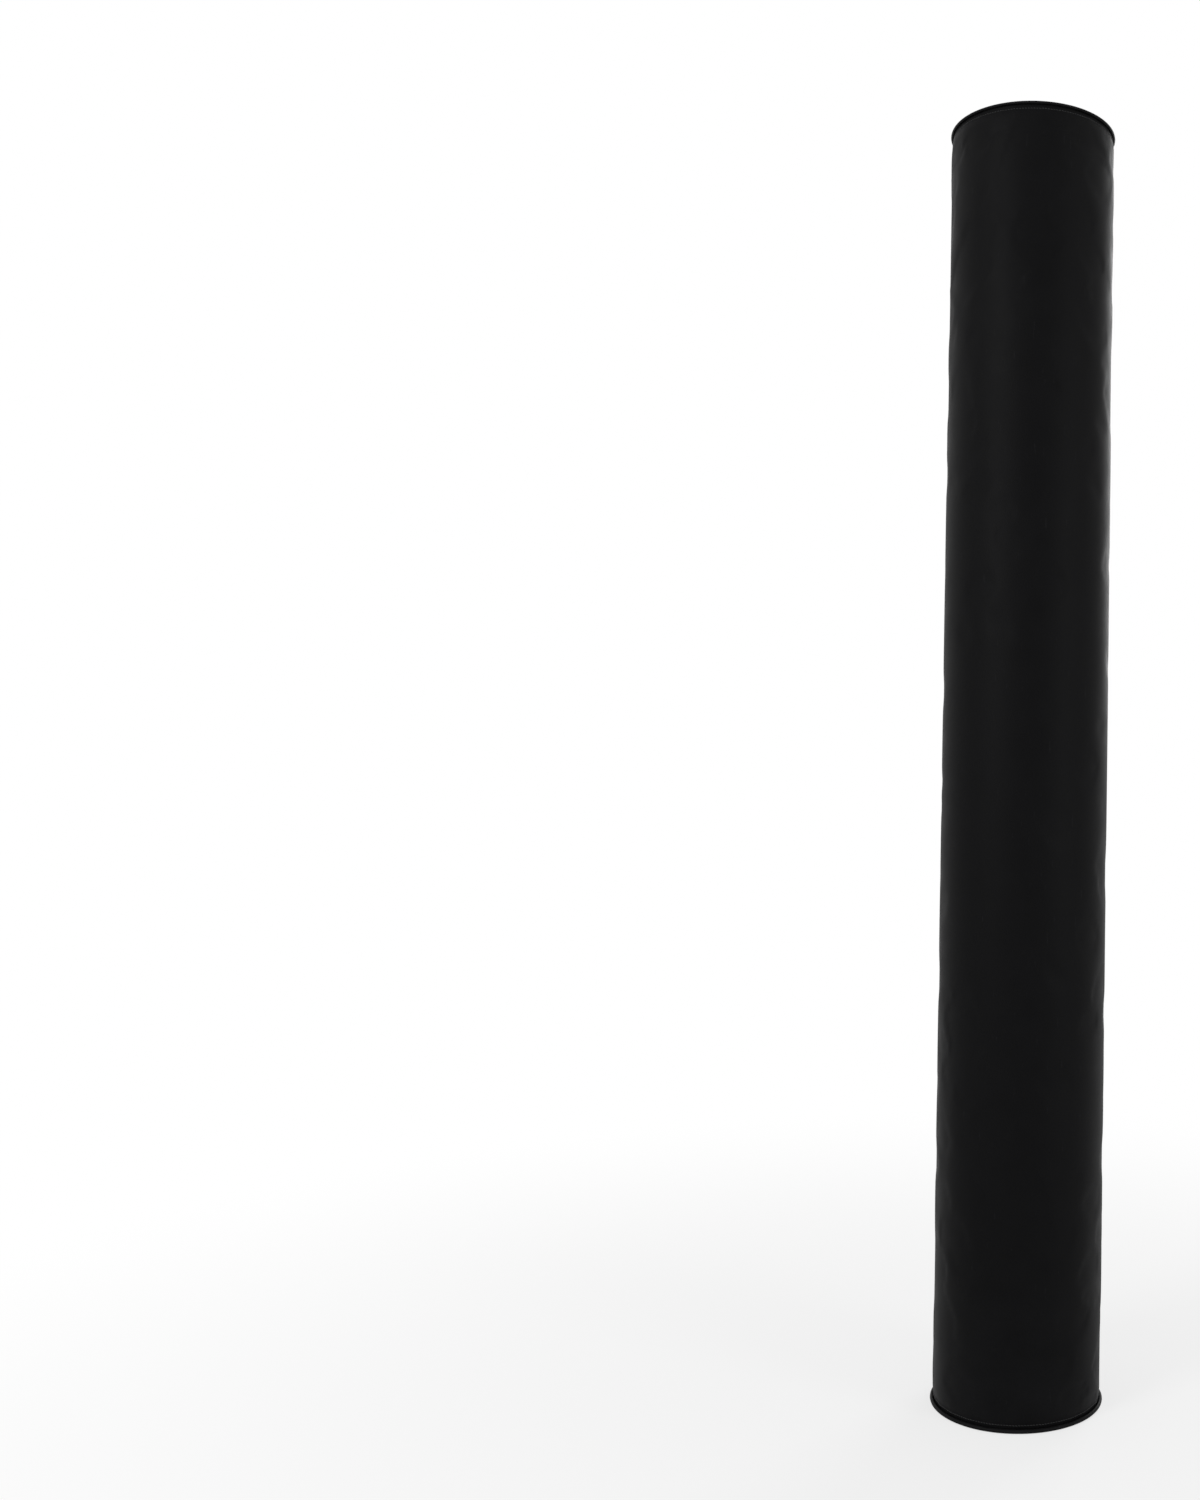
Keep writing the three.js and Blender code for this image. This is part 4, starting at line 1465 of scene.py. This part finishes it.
def make_world(stage):
    world = bpy.data.worlds.new("studio_world")
    world.use_nodes = True
    tree = world.node_tree
    tree.nodes.clear()
    seen = node(tree, "ShaderNodeBackground", {"Color": color_of(stage.background_color), "Strength": 1.0})
    plain = node(tree, "ShaderNodeBackground", {"Color": (1, 1, 1, 1), "Strength": 0.5})
    mixed = mixed_shader(tree, background_share(tree), plain, seen)
    node(tree, "ShaderNodeOutputWorld", {"Surface": mixed})
    bpy.context.scene.world = world


def make_floor(stage):
    """Pale floor that goes over into the background away from the pad, and keeps the pad's shadow."""
    material, tree, shader = principled("studio_floor", Roughness=0.9, Specular_IOR_Level=0.1)
    grain = node(tree, "ShaderNodeTexNoise", {"Scale": 40.0, "Detail": 4.0}).outputs["Fac"]
    feed(tree, shader.inputs["Base Color"], toned(tree, grain, stage.floor_color, 0.98, 1.0))
    place = node(tree, "ShaderNodeNewGeometry").outputs["Position"]
    far = node(tree, "ShaderNodeVectorMath", {0: place}, operation="LENGTH").outputs["Value"]
    spread = node(
        tree,
        "ShaderNodeMapRange",
        {"Value": far, "From Min": FULL_SHADOW, "From Max": NO_SHADOW},
        interpolation_type="SMOOTHSTEP",
    )
    share = ranged(tree, spread.outputs["Result"], 0.7, 1.0)
    glow = node(tree, "ShaderNodeEmission", {"Color": color_of(stage.background_color), "Strength": 1.0})
    factor = math_node(tree, "MULTIPLY", share, background_share(tree))
    feed(tree, tree.nodes["Material Output"].inputs["Surface"], mixed_shader(tree, factor, shader, glow))
    turn = np.arange(FLOOR_CORNERS) * 2 * math.pi / FLOOR_CORNERS
    mesh = bpy.data.meshes.new("studio_floor")
    mesh.from_pydata(point(turn, FLOOR_RADIUS, -FLOOR_DROP).tolist(), [], [range(FLOOR_CORNERS)])
    mesh.materials.append(material)
    new_object("studio_floor", mesh)


def make_lamp(name, place, size, power):
    lamp = bpy.data.lights.new(name, "AREA")
    lamp.shape = "RECTANGLE"
    lamp.size, lamp.size_y = size
    lamp.energy = power
    lit = new_object(name, lamp)
    lit.location = place
    lit.rotation_euler = (LAMP_TARGET - Vector(place)).to_track_quat("-Z", "Y").to_euler()


def make_camera(stage):
    view = bpy.data.cameras.new("photo_camera")
    view.lens = stage.camera_lens
    view.sensor_width = 36
    view.shift_x = stage.camera_shift
    camera = new_object("photo_camera", view)
    camera.location = stage.camera_place
    pitch = Matrix.Rotation(math.pi / 2 + stage.camera_pitch, 3, "X")
    camera.rotation_euler = (pitch @ Matrix.Rotation(stage.camera_roll, 3, "Z")).to_euler()
    bpy.context.scene.camera = camera


# Operators


class MakeFoam(bpy.types.Operator):
    """Make the five pieces of closed-cell foam"""

    bl_idname = "pole_pad.foam"
    bl_label = "Foam"

    def execute(self, context):
        seam = SPANS["main"] - (FRONT_SEAM - FOLD_ANGLE)
        make_foam("main", "inner", "main", 0.0, SPANS["main"])
        make_foam("wing", "inner", "wing", 0.0, SPANS["wing"])
        make_foam("main", "outer", "main", 0.0, seam)
        make_foam("front", "outer", "main", seam, SPANS["main"])
        make_foam("wing", "outer", "wing", 0.0, SPANS["wing"])
        return {"FINISHED"}


class MakeCover(bpy.types.Operator):
    """Make the vinyl cover, slack between its gathered rims"""

    bl_idname = "pole_pad.cover"
    bl_label = "Cover"

    def execute(self, context):
        make_cover()
        return {"FINISHED"}


class MakeLining(bpy.types.Operator):
    """Make the woven lining of the bore and of the fold's faces"""

    bl_idname = "pole_pad.lining"
    bl_label = "Lining"

    def execute(self, context):
        for section in SPANS:
            make_lining(section)
        return {"FINISHED"}


class MakePanels(bpy.types.Operator):
    """Make the end panels at the top and at the foot"""

    bl_idname = "pole_pad.panels"
    bl_label = "End Panels"

    def execute(self, context):
        for section in SPANS:
            for rim in BEADS:
                make_panel(section, rim)
        return {"FINISHED"}


class MakePiping(bpy.types.Operator):
    """Make the piped welts round both rims"""

    bl_idname = "pole_pad.piping"
    bl_label = "Piping"

    def execute(self, context):
        for part in (*SPANS, "fold"):
            for rim in BEADS:
                make_piping(rim, part)
        return {"FINISHED"}


class MakeClosure(bpy.types.Operator):
    """Make the closure flap with its hem and binding, and the hook and loop strips"""

    bl_idname = "pole_pad.closure"
    bl_label = "Closure"

    def execute(self, context):
        make_flap()
        make_hem()
        make_binding()
        make_strips()
        return {"FINISHED"}


class MakeStitching(bpy.types.Operator):
    """Sew the rows of stitches"""

    bl_idname = "pole_pad.stitching"
    bl_label = "Stitching"

    def execute(self, context):
        make_stitching()
        return {"FINISHED"}


class MakeStage(bpy.types.Operator):
    """Make the floor, the background, the lamps and the camera"""

    bl_idname = "pole_pad.stage"
    bl_label = "Stage"

    def execute(self, context):
        stage = context.scene.pole_pad_stage
        make_world(stage)
        make_floor(stage)
        make_camera(stage)
        for name, values in LAMPS.items():
            make_lamp(name, *values)
        context.scene.view_settings.view_transform = "Standard"
        return {"FINISHED"}


GROUPS = {
    "pole_pad_sizes": PadSizes,
    "pole_pad_finish": PadFinish,
    "pole_pad_stage": PadStage,
}
OPERATORS = (
    MakeFoam,
    MakeCover,
    MakeLining,
    MakePanels,
    MakePiping,
    MakeClosure,
    MakeStitching,
    MakeStage,
)


class PolePadPanel(bpy.types.Panel):
    """Sizes, colours and steps of the pole pad"""

    bl_idname = "VIEW3D_PT_pole_pad"
    bl_label = "Pole Pad"
    bl_space_type = "VIEW_3D"
    bl_region_type = "UI"
    bl_category = "Pole Pad"

    def draw(self, context):
        for group_name, group in GROUPS.items():
            for name in group.__annotations__:
                self.layout.prop(getattr(context.scene, group_name), name)
        for step in OPERATORS:
            self.layout.operator(step.bl_idname)


def register():
    for kind in (*GROUPS.values(), *OPERATORS, PolePadPanel):
        bpy.utils.register_class(kind)
    for name, group in GROUPS.items():
        setattr(bpy.types.Scene, name, bpy.props.PointerProperty(type=group))


def unregister():
    for name in GROUPS:
        delattr(bpy.types.Scene, name)
    for kind in (PolePadPanel, *reversed(OPERATORS), *reversed(GROUPS.values())):
        bpy.utils.unregister_class(kind)


def main():
    register()
    for step in OPERATORS:
        group, name = step.bl_idname.split(".")
        getattr(getattr(bpy.ops, group), name)()


if __name__ == "__main__":
    main()
